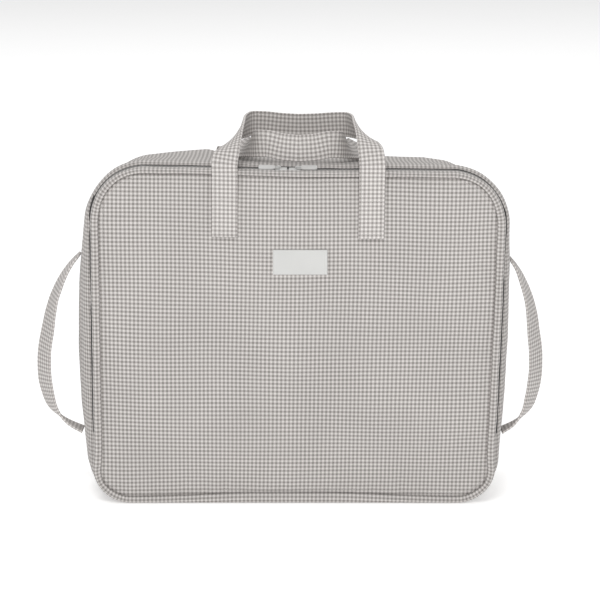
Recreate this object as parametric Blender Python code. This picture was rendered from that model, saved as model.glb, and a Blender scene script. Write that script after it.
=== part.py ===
"""Padded suitcase in gingham cloth, standing zipped closed.

Metres, +Z up, the front panel faces -Y, +X is to the right of someone who looks at the front.
The origin is on the floor below the middle of the case.

The rim is the line that the zip follows: up one side, over the top and down the other side.
Pieces that run round the case are swept along the rim. A cross-section there has two measures:
offset, outward from the rim, and depth, along Y.
"""

import math
from collections import namedtuple

import bmesh
import bpy
from mathutils import Vector

# Size of the case along the rim, before the cloth sags
BODY_WIDTH = 0.441
BODY_HEIGHT = 0.3615
BODY_DEPTH = 0.150
TOP_RADIUS = 0.060
BOTTOM_RADIUS = 0.042

# Smallest gap between neighbouring pieces
GAP = 0.0003

# Padded walls
PANEL_THICKNESS = 0.006
PANEL_CROWN = 0.007
GUSSET_WALL = 0.005
LEFT_BULGE = 0.018
RIGHT_BULGE = 0.010
TOP_DROP = 0.010
EDGE_PUFF = 0.0015
BACK_ROLL = 0.009

# Padded border of the front flap
BORDER_WIDTH = 0.0088
BORDER_DEPTH = 0.0115
BORDER_PUFF = 0.0025
BORDER_STEP = 0.003

# How the standing case sags
RIGHT_TAPER = 0.0105
TOP_TILT = 0.0033
TOP_SAG = 0.0016
SAG_LENGTH = 0.240

# Zip
ZIP_END_HEIGHT = 0.066
ZIP_RECESS = 0.0032
TAPE_THICKNESS = 0.0008
COIL_WIDTH = 0.0036
COIL_HEIGHT = 0.0016
SLIDER_LENGTH = 0.012
SLIDER_WALL = 0.0008
SLIDER_CLEARANCE = 0.0005
SLIDER_MEET_X = -0.011
SLIDER_SPACING = 0.014
LUG_THICKNESS = 0.0016
LUG_LENGTH = 0.0050
LUG_WALL = 0.0010
PIN_DIAMETER = 0.0012
PIN_CLEARANCE = 0.0004
PULL_LENGTH = 0.021
PULL_WIDTH = 0.0078
PULL_THICKNESS = 0.0013

# Straps
STRAP_WIDTH = 0.027
STRAP_THICKNESS = 0.003
LEG_SPACING = 0.153
LEG_FOOT_HEIGHT = 0.289
HANDLE_GRIP_RISE = 0.035
FRONT_HANDLE_REACH = 0.103
BACK_HANDLE_REACH = 0.127
SIDE_STRAP_TOP = 0.256
SIDE_STRAP_DROP = 0.192
SIDE_STRAP_DEPTH = -0.008
LEFT_STRAP_STAND = 0.0415
RIGHT_STRAP_STAND = 0.034

# Label
LABEL_WIDTH = 0.057
LABEL_HEIGHT = 0.026
LABEL_THICKNESS = 0.0012
LABEL_X = 0.0027
LABEL_MIDDLE_HEIGHT = 0.2635

# Faces along one straight run, one corner and one stretch between two strap rows
BOTTOM_STEPS = 9
SIDE_STEPS = 6
TOP_STEPS = 11
CORNER_STEPS = 6
STRAP_STEPS = 4
SIDE_STRAP_STEPS = 2

# Edges that turn more sharply than this are shaded as edges, in degrees
CLOTH_SMOOTH_ANGLE = 40
METAL_SMOOTH_ANGLE = 30

# Worked out from the sizes above
FRONT = -BODY_DEPTH / 2
BACK = BODY_DEPTH / 2
FRONT_SEAM = FRONT + BORDER_PUFF * 0.4
BACK_SEAM = BACK - BORDER_PUFF
BORDER_REAR = FRONT + BORDER_DEPTH
SLIDER_WIDTH = COIL_WIDTH + 2 * (GAP + SLIDER_WALL)
ZIP_GAP = SLIDER_WIDTH + 2 * SLIDER_CLEARANCE + GAP
RIM_DEPTH = BORDER_REAR + ZIP_GAP
ZIP_TILT = math.atan2(BORDER_STEP, ZIP_GAP)
PANEL_MIDDLE = (BODY_HEIGHT - BORDER_STEP) / 2

# Cloth and metal: colour, roughness, metallic
GINGHAM = ("gingham", (0.515, 0.500, 0.485), 0.90, 0.0)
STRAP_CLOTH = ("strap_gingham", (0.455, 0.442, 0.428), 0.90, 0.0)
TAPE_CLOTH = ("zip_tape", (0.330, 0.318, 0.305), 0.85, 0.0)
ZIP_METAL = ("zip_metal", (0.560, 0.560, 0.550), 0.35, 0.9)
LABEL_LEATHER = ("label", (0.680, 0.680, 0.665), 0.60, 0.0)

RimPoint = namedtuple("RimPoint", "x z out_x out_z")

# Width of the border along the rim, as a share of BORDER_WIDTH, at shares of the height
BorderRow = namedtuple("BorderRow", "height_share width_share")
BORDER_ROWS = (
    BorderRow(0.00, 1.35),
    BorderRow(0.06, 1.05),
    BorderRow(0.30, 1.00),
    BorderRow(0.85, 1.00),
    BorderRow(1.00, 0.65),
)

# Outer side of the gusset from the rim to the back: share of the way back, share of the side bulge,
# share of EDGE_PUFF, share of TOP_DROP
GussetRow = namedtuple("GussetRow", "back_share bulge_share puff_share drop_share")
GUSSET_ROWS = (
    GussetRow(0.02, 0.12, 0.60, 0.00),
    GussetRow(0.07, 0.38, 1.00, 0.02),
    GussetRow(0.20, 0.74, 0.55, 0.12),
    GussetRow(0.36, 0.95, 0.15, 0.32),
    GussetRow(0.52, 1.00, 0.00, 0.55),
    GussetRow(0.70, 0.88, 0.10, 0.78),
    GussetRow(0.84, 0.58, 0.50, 0.95),
    GussetRow(0.92, 0.30, 0.70, 1.00),
)

# How far the back of the gusset's top lies below the rim, as a share of TOP_DROP, at shares of half the
# width. The back handle presses it down between its legs.
TopRow = namedtuple("TopRow", "across_share drop_share")
TOP_ROWS = (
    TopRow(-1.00, 1.40),
    TopRow(-0.90, 1.20),
    TopRow(-0.73, 0.80),
    TopRow(-0.60, 0.45),
    TopRow(-0.45, 0.12),
    TopRow(-0.38, 0.50),
    TopRow(0.38, 0.60),
    TopRow(0.62, 0.70),
    TopRow(0.72, 1.02),
    TopRow(0.86, 1.75),
    TopRow(1.00, 2.00),
)

# Free part of a handle, from the rim to the middle of the grip: share of half the leg spacing, share
# of the reach over the top, height of the middle line as a share of the grip's rise, and the lean of
# the strap's width: 0 lies level, 90 stands upright
HandleRow = namedtuple("HandleRow", "across_share reach_share rise_share lean")
FRONT_HANDLE_LEFT = (
    HandleRow(1.00, 0.000, -0.26, 0),
    HandleRow(1.00, 0.008, 0.12, 1),
    HandleRow(0.98, 0.060, 0.36, 9),
    HandleRow(0.93, 0.230, 0.60, 30),
    HandleRow(0.83, 0.500, 0.85, 60),
    HandleRow(0.74, 0.780, 0.98, 82),
    HandleRow(0.64, 0.935, 1.01, 89),
    HandleRow(0.48, 0.985, 1.00, 90),
    HandleRow(0.24, 1.000, 0.96, 90),
    HandleRow(0.00, 1.005, 0.94, 90),
)
FRONT_HANDLE_RIGHT = (
    HandleRow(1.00, 0.000, -0.26, 0),
    HandleRow(1.00, 0.010, 0.17, 1),
    HandleRow(0.985, 0.062, 0.50, 7),
    HandleRow(0.945, 0.220, 0.79, 25),
    HandleRow(0.855, 0.500, 0.97, 53),
    HandleRow(0.76, 0.780, 1.02, 80),
    HandleRow(0.66, 0.935, 1.02, 89),
    HandleRow(0.48, 0.985, 1.00, 90),
    HandleRow(0.24, 1.000, 0.96, 90),
    HandleRow(0.00, 1.005, 0.94, 90),
)
BACK_HANDLE_ROWS = (
    HandleRow(1.000, 0.000, -0.30, 0),
    HandleRow(0.998, 0.014, -0.10, 0),
    HandleRow(0.985, 0.055, 0.02, 1),
    HandleRow(0.950, 0.140, 0.12, 10),
    HandleRow(0.855, 0.360, 0.31, 30),
    HandleRow(0.775, 0.530, 0.29, 42),
    HandleRow(0.710, 0.640, 0.36, 54),
    HandleRow(0.655, 0.770, 0.50, 76),
    HandleRow(0.600, 0.870, 0.57, 86),
    HandleRow(0.550, 0.915, 0.60, 88),
    HandleRow(0.440, 0.950, 0.62, 90),
    HandleRow(0.220, 0.985, 0.55, 90),
    HandleRow(0.000, 1.000, 0.52, 90),
)

# A side strap from its upper to its lower end: share of the drop, share of the stand, and how far the
# strap has turned from lying flat on the side
StrapRow = namedtuple("StrapRow", "drop_share stand_share turn")
SIDE_STRAP_ROWS = (
    StrapRow(0.035, 0.15, 4),
    StrapRow(0.10, 0.36, 12),
    StrapRow(0.24, 0.67, 22),
    StrapRow(0.42, 0.87, 32),
    StrapRow(0.62, 1.00, 36),
    StrapRow(0.76, 0.95, 36),
    StrapRow(0.88, 0.76, 27),
    StrapRow(0.95, 0.44, 13),
)

# Rings of a panel from its edge to its middle, as shares of the outline, for its two faces
FRONT_RINGS = (0.985, 0.955, 0.89, 0.78, 0.60, 0.36)
BACK_RINGS = (0.97, 0.80, 0.45)
CROWN_POWER = 5


def clear_scene():
    for item in list(bpy.data.objects):
        bpy.data.objects.remove(item, do_unlink=True)


def material(name, colour, roughness, metallic):
    made = bpy.data.materials.get(name) or bpy.data.materials.new(name)
    made.use_nodes = True
    shader = made.node_tree.nodes["Principled BSDF"]
    shader.inputs["Base Color"].default_value = (*colour, 1.0)
    shader.inputs["Roughness"].default_value = roughness
    shader.inputs["Metallic"].default_value = metallic
    made.diffuse_color = (*colour, 1.0)
    return made


def blend_rows(rows, key, value, at):
    """Value of a table's column where its key column reaches a number, eased between rows."""
    places = [getattr(row, key) for row in rows]
    values = [getattr(row, value) for row in rows]
    if at <= places[0]:
        return values[0]
    for low in range(len(rows) - 1):
        if at <= places[low + 1]:
            share = (at - places[low]) / (places[low + 1] - places[low])
            eased = share * share * (3 - 2 * share)
            return values[low] + (values[low + 1] - values[low]) * eased
    return values[-1]


def line_rows(rows, key, value, at):
    """Value of a table's column where its key column reaches a number, straight between rows."""
    for low, high in zip(rows, rows[1:]):
        if at <= getattr(high, key):
            start, end = getattr(low, key), getattr(high, key)
            share = max(0.0, (at - start) / (end - start))
            return getattr(low, value) + (getattr(high, value) - getattr(low, value)) * share
    return getattr(rows[-1], value)


def smooth_step(low, high, at):
    share = min(1.0, max(0.0, (at - low) / (high - low)))
    return share * share * (3 - 2 * share)


def sag(x, y, z):
    """Where a point of the case goes when it stands: the right side leans in towards the foot, the
    top is higher at the left and dips a little in the middle."""
    across = x / (BODY_WIDTH / 2)
    up = max(0.0, z / BODY_HEIGHT)
    taper = RIGHT_TAPER * max(0.0, 1 - up) ** 1.3 * (1 + across) / 2
    dip = 0.0
    if abs(x) < SAG_LENGTH / 2:
        dip = TOP_SAG * math.cos(math.pi * x / SAG_LENGTH) ** 2
    return Vector((x - taper, y, z - up * (TOP_TILT * across + dip)))


# The rim

def line_run(start, end, out, steps):
    """Rim points of a straight stretch, without its last point."""
    points = []
    for step in range(steps):
        share = step / steps
        x = start[0] + (end[0] - start[0]) * share
        z = start[1] + (end[1] - start[1]) * share
        points.append(RimPoint(x, z, *out))
    return points


def corner_run(middle, radius, first_angle, steps=CORNER_STEPS):
    """Rim points of a quarter circle, without its last point."""
    points = []
    for step in range(steps):
        angle = math.radians(first_angle + 90 * step / steps)
        out_x = math.cos(angle)
        out_z = math.sin(angle)
        points.append(RimPoint(middle[0] + radius * out_x, middle[1] + radius * out_z, out_x, out_z))
    return points


def upper_runs(from_height, steps):
    """Rim points from a height on the right side over the top to the same height at the left."""
    half = BODY_WIDTH / 2
    inner = half - TOP_RADIUS
    shoulder = BODY_HEIGHT - TOP_RADIUS
    return (
        line_run((half, from_height), (half, shoulder), (1, 0), steps)
        + corner_run((inner, shoulder), TOP_RADIUS, 0)
        + line_run((inner, BODY_HEIGHT), (-inner, BODY_HEIGHT), (0, 1), TOP_STEPS)
        + corner_run((-inner, shoulder), TOP_RADIUS, 90)
        + line_run((-half, shoulder), (-half, from_height), (-1, 0), steps)
    )


def whole_rim():
    half = BODY_WIDTH / 2
    inner = half - BOTTOM_RADIUS
    return (
        line_run((-inner, 0), (inner, 0), (0, -1), BOTTOM_STEPS)
        + corner_run((inner, BOTTOM_RADIUS), BOTTOM_RADIUS, 270)
        + upper_runs(BOTTOM_RADIUS, SIDE_STEPS)
        + corner_run((-inner, BOTTOM_RADIUS), BOTTOM_RADIUS, 180)
    )


def zip_rim():
    half = BODY_WIDTH / 2
    return upper_runs(ZIP_END_HEIGHT, SIDE_STEPS) + [RimPoint(-half, ZIP_END_HEIGHT, -1, 0)]


def hinge_rim():
    """The lower stretch of the rim, between the two ends of the zip."""
    half = BODY_WIDTH / 2
    inner = half - BOTTOM_RADIUS
    end = ZIP_END_HEIGHT - GAP
    return (
        line_run((-half, end), (-half, BOTTOM_RADIUS), (-1, 0), 2)
        + corner_run((-inner, BOTTOM_RADIUS), BOTTOM_RADIUS, 180)
        + line_run((-inner, 0), (inner, 0), (0, -1), BOTTOM_STEPS)
        + corner_run((inner, BOTTOM_RADIUS), BOTTOM_RADIUS, 270)
        + line_run((half, BOTTOM_RADIUS), (half, end), (1, 0), 2)
        + [RimPoint(half, end, 1, 0)]
    )


def at_rim(point, offset, depth):
    """Place in the sagging case of an offset and a depth at a rim point."""
    return sag(point.x + offset * point.out_x, depth, point.z + offset * point.out_z)


def border_outer(point):
    """Offset of the border's outer side: level with the rim below the zip, a step inside it beside
    the zip."""
    return -BORDER_STEP * smooth_step(BOTTOM_RADIUS * 0.3, ZIP_END_HEIGHT, point.z)


def seam_offset(point):
    """Offset of the seam between the border and the front panel."""
    share = blend_rows(BORDER_ROWS, "height_share", "width_share", point.z / BODY_HEIGHT)
    return border_outer(point) - BORDER_WIDTH * share


def side_bulge(point):
    """How far the middle of the gusset stands out at a rim point."""
    height = point.z / BODY_HEIGHT
    tallness = max(0.0, 1 - ((height - 0.45) / 0.5) ** 2)
    bulge = RIGHT_BULGE if point.out_x > 0 else LEFT_BULGE
    return bulge * tallness * abs(point.out_x) ** 1.5


def gusset_outer(point, back_share):
    """Offset of the gusset's outer side at a share of the way from the rim to the back."""
    upward = max(0.0, point.out_z)
    free = 1 - smooth_step(0.6, 1.0, -point.out_z)
    bulge = blend_rows(GUSSET_ROWS, "back_share", "bulge_share", back_share) * side_bulge(point)
    puff = blend_rows(GUSSET_ROWS, "back_share", "puff_share", back_share) * EDGE_PUFF * free
    drop = blend_rows(GUSSET_ROWS, "back_share", "drop_share", back_share)
    top = line_rows(TOP_ROWS, "across_share", "drop_share", point.x / (BODY_WIDTH / 2)) * TOP_DROP
    return bulge + puff - drop * top * upward


def back_seam(point):
    """Offset of the seam between the gusset and the back panel."""
    return gusset_outer(point, GUSSET_ROWS[-1].back_share) - BACK_ROLL


def gusset_depth(back_share):
    return RIM_DEPTH + (BACK - RIM_DEPTH) * back_share


# Solids

def finish_mesh(name, mesh_data, look, smooth_angle=CLOTH_SMOOTH_ANGLE):
    bmesh.ops.recalc_face_normals(mesh_data, faces=mesh_data.faces)
    mesh = bpy.data.meshes.new(name)
    mesh_data.to_mesh(mesh)
    mesh_data.free()
    mesh.shade_smooth()
    mesh.set_sharp_from_angle(angle=math.radians(smooth_angle))
    mesh.materials.append(material(*look))
    made = bpy.data.objects.new(name, mesh)
    bpy.context.scene.collection.objects.link(made)
    return made


def bridge(mesh_data, first, second):
    """Faces between two rings with as many points."""
    count = len(first)
    for index in range(count):
        follower = (index + 1) % count
        mesh_data.faces.new((first[index], first[follower], second[follower], second[index]))


def loft(name, rings, look, closed):
    """A solid through rings of points: closed into a loop, or with a face at each end."""
    mesh_data = bmesh.new()
    loops = [[mesh_data.verts.new(point) for point in ring] for ring in rings]
    for first, second in zip(loops, loops[1:]):
        bridge(mesh_data, first, second)
    if closed:
        bridge(mesh_data, loops[-1], loops[0])
    else:
        mesh_data.faces.new(loops[0])
        mesh_data.faces.new(loops[-1])
    return finish_mesh(name, mesh_data, look)


def build_gusset():
    """The hollow band round the case, turned in at the back to meet the back panel."""
    rings = []
    for point in whole_rim():
        section = [(-GUSSET_WALL, RIM_DEPTH), (-GUSSET_WALL * 0.25, RIM_DEPTH)]
        for row in GUSSET_ROWS:
            section.append((gusset_outer(point, row.back_share), gusset_depth(row.back_share)))
        last = GUSSET_ROWS[-1].back_share
        end_offset = gusset_outer(point, last)
        end_depth = gusset_depth(last)
        for angle in (30, 60, 90):
            turn = math.radians(angle)
            inward = BACK_ROLL * 0.55 * (1 - math.cos(turn))
            section.append((end_offset - inward, end_depth + (BACK - end_depth) * math.sin(turn)))
        seam = back_seam(point)
        section.append((seam, BACK_SEAM))
        section.append((seam, BACK_SEAM - PANEL_THICKNESS))
        for share in (0.80, 0.52, 0.24):
            section.append((gusset_outer(point, share) - GUSSET_WALL, gusset_depth(share)))
        rings.append([at_rim(point, offset, depth) for offset, depth in section])
    return loft("gusset", rings, GINGHAM, closed=True)


def build_front_border():
    """The padded roll round the front panel. Its front stands proud of the seam."""
    rings = []
    for point in whole_rim():
        outer = border_outer(point)
        seam = seam_offset(point)
        width = outer - seam
        section = (
            (seam, FRONT_SEAM),
            (seam + width * 0.22, FRONT - BORDER_PUFF * 0.8),
            (seam + width * 0.50, FRONT - BORDER_PUFF),
            (seam + width * 0.80, FRONT),
            (outer, FRONT + BORDER_DEPTH * 0.32),
            (outer, FRONT + BORDER_DEPTH * 0.78),
            (outer - GUSSET_WALL * 0.25, BORDER_REAR),
            (outer - GUSSET_WALL, BORDER_REAR),
            (seam, FRONT + BORDER_DEPTH * 0.80),
        )
        rings.append([at_rim(point, offset, depth) for offset, depth in section])
    return loft("front_border", rings, GINGHAM, closed=True)


def crown(share):
    """How far a panel stands out at a share of the way from its middle to its seam."""
    return PANEL_CROWN * (1 - min(1.0, share) ** CROWN_POWER)


def build_panel(name, inset, facing, edge_depth):
    """A padded panel inside a seam line. Inset gives the seam's offset at a rim point, and facing is
    -1 for the front and 1 for the back."""
    rim = whole_rim()
    inner = -facing * PANEL_THICKNESS

    def ring(share, face_depth):
        points = []
        for point in rim:
            offset = inset(point) - GAP
            x = (point.x + offset * point.out_x) * share
            z = PANEL_MIDDLE + (point.z + offset * point.out_z - PANEL_MIDDLE) * share
            points.append(sag(x, face_depth, z))
        return points

    mesh_data = bmesh.new()
    outer_edge = [mesh_data.verts.new(place) for place in ring(1.0, edge_depth + inner * 0.25)]
    inner_edge = [mesh_data.verts.new(place) for place in ring(1.0, edge_depth + inner)]
    bridge(mesh_data, outer_edge, inner_edge)
    for edge, shares, base in (
        (outer_edge, FRONT_RINGS, edge_depth),
        (inner_edge, BACK_RINGS, edge_depth + inner),
    ):
        last = edge
        for share in shares:
            depth = base + facing * crown(share)
            loop = [mesh_data.verts.new(place) for place in ring(share, depth)]
            bridge(mesh_data, last, loop)
            last = loop
        centre = mesh_data.verts.new(sag(0.0, base + facing * crown(0.0), PANEL_MIDDLE))
        for index, corner in enumerate(last):
            mesh_data.faces.new((corner, last[(index + 1) % len(last)], centre))
    return finish_mesh(name, mesh_data, GINGHAM)


def panel_face(x, z):
    """Distance that a panel's face stands out from its seam, above the middle of the panel."""
    half_width = BODY_WIDTH / 2 - BORDER_STEP - BORDER_WIDTH
    half_height = BODY_HEIGHT - BORDER_STEP - BORDER_WIDTH * BORDER_ROWS[-1].width_share - PANEL_MIDDLE
    return crown(max(abs(x) / half_width, abs(z - PANEL_MIDDLE) / half_height))


# Zip

def zip_place(point, along, above):
    """Offset and depth of a place in the zip's own plane, which slopes from the rim down to the
    border: along runs towards the gusset, above stands on the tape."""
    tilt_sin = math.sin(ZIP_TILT)
    tilt_cos = math.cos(ZIP_TILT)
    offset = border_outer(point) / 2 - ZIP_RECESS + along * tilt_sin + above * tilt_cos
    depth = BORDER_REAR + ZIP_GAP / 2 + along * tilt_cos - above * tilt_sin
    return offset, depth


def build_zip_tapes():
    for name, side in (("zip_tape_front", -1), ("zip_tape_rear", 1)):
        rings = []
        for point in zip_rim():
            middle = border_outer(point) / 2 - ZIP_RECESS
            wall = middle - side * border_outer(point) / 2
            near = GAP / 2
            far = ZIP_GAP / 2 - GAP
            depth = BORDER_REAR + ZIP_GAP / 2
            section = (
                (middle, depth + side * near),
                (wall, depth + side * far),
                (wall - TAPE_THICKNESS, depth + side * far),
                (middle - TAPE_THICKNESS, depth + side * near),
            )
            rings.append([at_rim(point, offset, depth) for offset, depth in section])
        loft(name, rings, TAPE_CLOTH, closed=False)


def build_zip_coil():
    half = COIL_WIDTH / 2
    section = (
        (-half, COIL_HEIGHT * 0.7),
        (-half * 0.6, COIL_HEIGHT),
        (half * 0.6, COIL_HEIGHT),
        (half, COIL_HEIGHT * 0.7),
        (half, 0.0),
        (-half, 0.0),
    )
    rings = []
    for point in zip_rim():
        places = [zip_place(point, along, GAP + above) for along, above in section]
        rings.append([at_rim(point, *place) for place in places])
    return loft("zip_coil", rings, TAPE_CLOTH, closed=False)


def build_flap_hinge():
    """The strip of cloth on which the flap opens, below the two ends of the zip."""
    rings = []
    for point in hinge_rim():
        outer = -ZIP_RECESS
        section = (
            (border_outer(point) + outer, BORDER_REAR + GAP),
            (outer, RIM_DEPTH - GAP),
            (outer - TAPE_THICKNESS, RIM_DEPTH - GAP),
            (border_outer(point) + outer - TAPE_THICKNESS, BORDER_REAR + GAP),
        )
        rings.append([at_rim(point, offset, depth) for offset, depth in section])
    return loft("flap_hinge", rings, GINGHAM, closed=False)


def slider_frame(x):
    """Middle of a slider's foot on the tape, with its directions along and across the zip and up."""
    point = RimPoint(x, BODY_HEIGHT, 0, 1)
    base = at_rim(point, *zip_place(point, 0.0, GAP))
    across = Vector((0, math.cos(ZIP_TILT), math.sin(ZIP_TILT)))
    up = Vector((0, -math.sin(ZIP_TILT), math.cos(ZIP_TILT)))
    return base, across, up


def pivot_height():
    """Height of the pull's pivot above the slider's foot."""
    top = COIL_HEIGHT + GAP + SLIDER_WALL
    return top + PIN_CLEARANCE + max(PULL_THICKNESS, PIN_DIAMETER) / 2 + GAP


def pivot_point(outward):
    """World place of a pull's pivot. Outward is -1 for the left slider and 1 for the right one."""
    x = SLIDER_MEET_X + outward * SLIDER_SPACING / 2
    base, _, up = slider_frame(x)
    shift = outward * (SLIDER_LENGTH / 2 - LUG_LENGTH / 2 - SLIDER_WALL)
    return base + up * pivot_height() + Vector((shift, 0, 0))


def pierced_plate(name, outline, width, frame, look, hole):
    """A plate with an outline of (along, above) points, as thick as width across the zip. The hole
    is (along, above, radius)."""
    base, across, up = frame
    mesh_data = bmesh.new()

    def place(along, above, side):
        return base + Vector((along, 0, 0)) + up * above + across * side * width / 2

    sides = []
    for side in (-1, 1):
        sides.append([mesh_data.verts.new(place(*spot, side)) for spot in outline])
    bridge(mesh_data, *sides)
    along, above, radius = hole
    walls = []
    for side, loop in zip((-1, 1), sides):
        ring = []
        for spot in outline:
            angle = math.atan2(spot[1] - above, spot[0] - along)
            ring.append(place(along + radius * math.cos(angle), above + radius * math.sin(angle), side))
        walls.append([mesh_data.verts.new(spot) for spot in ring])
        bridge(mesh_data, loop, walls[-1])
    bridge(mesh_data, *walls)
    return finish_mesh(name, mesh_data, look, METAL_SMOOTH_ANGLE)


def join_all(main, others):
    """Fuse solids that meet into one."""
    for other in others:
        fuse = main.modifiers.new("fuse", "BOOLEAN")
        fuse.operation = "UNION"
        fuse.object = other
        other.hide_render = True
        other.display_type = "WIRE"
    return main


def build_slider(name, outward):
    """A channel over the coil, with a pierced lug for the pull's pin."""
    base, across, up = slider_frame(SLIDER_MEET_X + outward * SLIDER_SPACING / 2)
    half = SLIDER_LENGTH / 2
    inner = COIL_WIDTH / 2 + GAP
    outer = SLIDER_WIDTH / 2
    roof = COIL_HEIGHT + GAP
    top = roof + SLIDER_WALL
    section = (
        (-outer, 0.0), (-outer, top - SLIDER_WALL * 0.4), (-outer + SLIDER_WALL * 0.6, top),
        (outer - SLIDER_WALL * 0.6, top), (outer, top - SLIDER_WALL * 0.4), (outer, 0.0),
        (inner, 0.0), (inner, roof), (-inner, roof), (-inner, 0.0),
    )
    rings = []
    for along in (-half, half):
        ring = [base + Vector((along, 0, 0)) + across * side + up * above for side, above in section]
        rings.append(ring)
    body = loft(name, rings, ZIP_METAL, closed=False)

    pivot = pivot_height()
    hole = PIN_DIAMETER / 2 + PIN_CLEARANCE
    centre = outward * (half - LUG_LENGTH / 2 - SLIDER_WALL)
    lug_top = pivot + hole + LUG_WALL
    reach = LUG_LENGTH / 2
    foot = roof + SLIDER_WALL / 2
    outline = [(centre - reach, foot), (centre, foot), (centre + reach, foot), (centre + reach, pivot)]
    for angle in (30, 60, 90, 120, 150):
        turn = math.radians(angle)
        rise = (lug_top - pivot) * math.sin(turn)
        outline.append((centre + reach * math.cos(turn), pivot + rise))
    outline.append((centre - reach, pivot))
    frame = (base, across, up)
    lug = pierced_plate(name + "_lug", outline, LUG_THICKNESS, frame, ZIP_METAL, (centre, pivot, hole))
    return join_all(body, [lug])


def build_pull(name, outward):
    """A flat pull with a pin through the slider's lug. It lies outward along the zip."""
    _, across, up = slider_frame(SLIDER_MEET_X)
    pivot = pivot_point(outward)
    arm = PIN_DIAMETER
    slot = LUG_THICKNESS / 2 + PIN_CLEARANCE
    neck = slot + arm
    clear = math.hypot(LUG_LENGTH / 2, LUG_WALL + PIN_DIAMETER) + PIN_CLEARANCE
    half = PULL_WIDTH / 2
    thick = PULL_THICKNESS / 2
    frame = (pivot, Vector((outward, 0, 0)), up)

    def plate(suffix, outline, height):
        """A flat solid with an outline of (along, side) points in the plane of the pull."""
        base, along_way, up_way = frame
        mesh_data = bmesh.new()
        loops = []
        for level in (-height, height):
            loop = [base + along_way * a + across * s + up_way * level for a, s in outline]
            loops.append([mesh_data.verts.new(spot) for spot in loop])
        bridge(mesh_data, *loops)
        for loop in loops:
            mesh_data.faces.new(loop)
        return finish_mesh(name + suffix, mesh_data, ZIP_METAL, METAL_SMOOTH_ANGLE)

    tip = PULL_LENGTH
    round_in = half * 0.45
    paddle = plate("", [
        (clear, -neck), (clear + half * 0.6, -half), (tip - round_in, -half),
        (tip - round_in * 0.3, -half + round_in * 0.3), (tip, -half + round_in),
        (tip, half - round_in), (tip - round_in * 0.3, half - round_in * 0.3),
        (tip - round_in, half), (clear + half * 0.6, half), (clear, neck),
    ], thick)

    def bar(suffix, along, side, height):
        """A straight piece between two values along the pull and two across it."""
        outline = [(along[0], side[0]), (along[1], side[0]), (along[1], side[1]), (along[0], side[1])]
        return plate(suffix, outline, height)

    pin = PIN_DIAMETER / 2
    pin_end = neck - arm / 2
    extras = [
        bar("_arm_front", (-pin, clear + arm), (-neck, -slot), thick * 0.9),
        bar("_arm_rear", (-pin, clear + arm), (slot, neck), thick * 0.9),
        bar("_pin", (-pin, pin), (-pin_end, pin_end), pin * 0.8),
    ]
    return join_all(paddle, extras)


# Straps

def smooth_path(controls, steps=STRAP_STEPS):
    """Places and turns of a smooth curve through controls, each a place and a turn in degrees. The
    curve's pace follows the distance between the controls, so that it doesn't overshoot."""
    rows = [Vector((*place, turn)) for place, turn in controls]
    lengths = [(end[0] - start[0]).length for start, end in zip(controls, controls[1:])]
    slopes = [(rows[index + 1] - rows[index]) / lengths[index] for index in range(len(lengths))]
    pace = [slopes[0]]
    for index in range(1, len(lengths)):
        before, after = lengths[index - 1], lengths[index]
        pace.append((slopes[index - 1] * after + slopes[index] * before) / (before + after))
    pace.append(slopes[-1])
    path = []
    for index, length in enumerate(lengths):
        for step in range(steps):
            t = step / steps
            path.append(
                rows[index] * (2 * t ** 3 - 3 * t ** 2 + 1)
                + pace[index] * length * (t ** 3 - 2 * t ** 2 + t)
                + rows[index + 1] * (3 * t ** 2 - 2 * t ** 3)
                + pace[index + 1] * length * (t ** 3 - t ** 2)
            )
    path.append(rows[-1])
    return [(row.xyz, row.w) for row in path]


def ribbon(name, places, width_ways, look):
    """A strap along places, each with the direction of its width."""
    half_width = STRAP_WIDTH / 2
    half_thick = STRAP_THICKNESS / 2
    edge = half_thick * 0.6
    section = (
        (-half_width, -half_thick + edge), (-half_width + edge, -half_thick),
        (half_width - edge, -half_thick), (half_width, -half_thick + edge),
        (half_width, half_thick - edge), (half_width - edge, half_thick),
        (-half_width + edge, half_thick), (-half_width, half_thick - edge),
    )
    rings = []
    for index, (place, way) in enumerate(zip(places, width_ways)):
        ahead = places[min(index + 1, len(places) - 1)]
        behind = places[max(index - 1, 0)]
        tangent = (ahead - behind).normalized()
        across = (way - tangent * way.dot(tangent)).normalized()
        face = tangent.cross(across)
        rings.append([sag(*(place + across * a + face * b)) for a, b in section])
    return loft(name, rings, look, closed=False)


def build_handle(name, left_rows, right_rows, facing, reach):
    """A handle whose legs lie on a panel and whose grip has dropped over the top of the case. Facing
    is -1 for the handle of the front panel, 1 for that of the back panel."""
    half_spacing = LEG_SPACING / 2
    lift = STRAP_THICKNESS / 2 + GAP * 2
    rim_top = BODY_HEIGHT - BORDER_STEP
    seam_height = LEG_FOOT_HEIGHT + (rim_top - LEG_FOOT_HEIGHT) * 0.53
    seam_depth, edge_depth = (-FRONT_SEAM, BORDER_PUFF - FRONT) if facing < 0 else (BACK_SEAM, BACK)
    start_depth = edge_depth + lift + GAP

    def half_path(side, rows):
        controls = []
        for height in (LEG_FOOT_HEIGHT, (LEG_FOOT_HEIGHT + seam_height) / 2, seam_height):
            face = max(seam_depth + panel_face(half_spacing, height), edge_depth)
            controls.append((Vector((side * half_spacing, facing * (face + lift), height)), 0.0))
        for row in rows:
            depth = facing * (start_depth - reach * row.reach_share)
            height = BODY_HEIGHT + HANDLE_GRIP_RISE * row.rise_share
            controls.append((Vector((side * half_spacing * row.across_share, depth, height)), row.lean))
        return smooth_path(controls)

    places = []
    ways = []
    left = half_path(-1, left_rows)
    right = half_path(1, right_rows)
    for side, path in ((-1, left), (1, reversed(right[:-1]))):
        for place, lean in path:
            turn = math.radians(lean)
            places.append(place)
            ways.append(Vector((side * math.cos(turn), 0, -math.sin(turn))))
    return ribbon(name, places, ways, STRAP_CLOTH)


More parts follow.
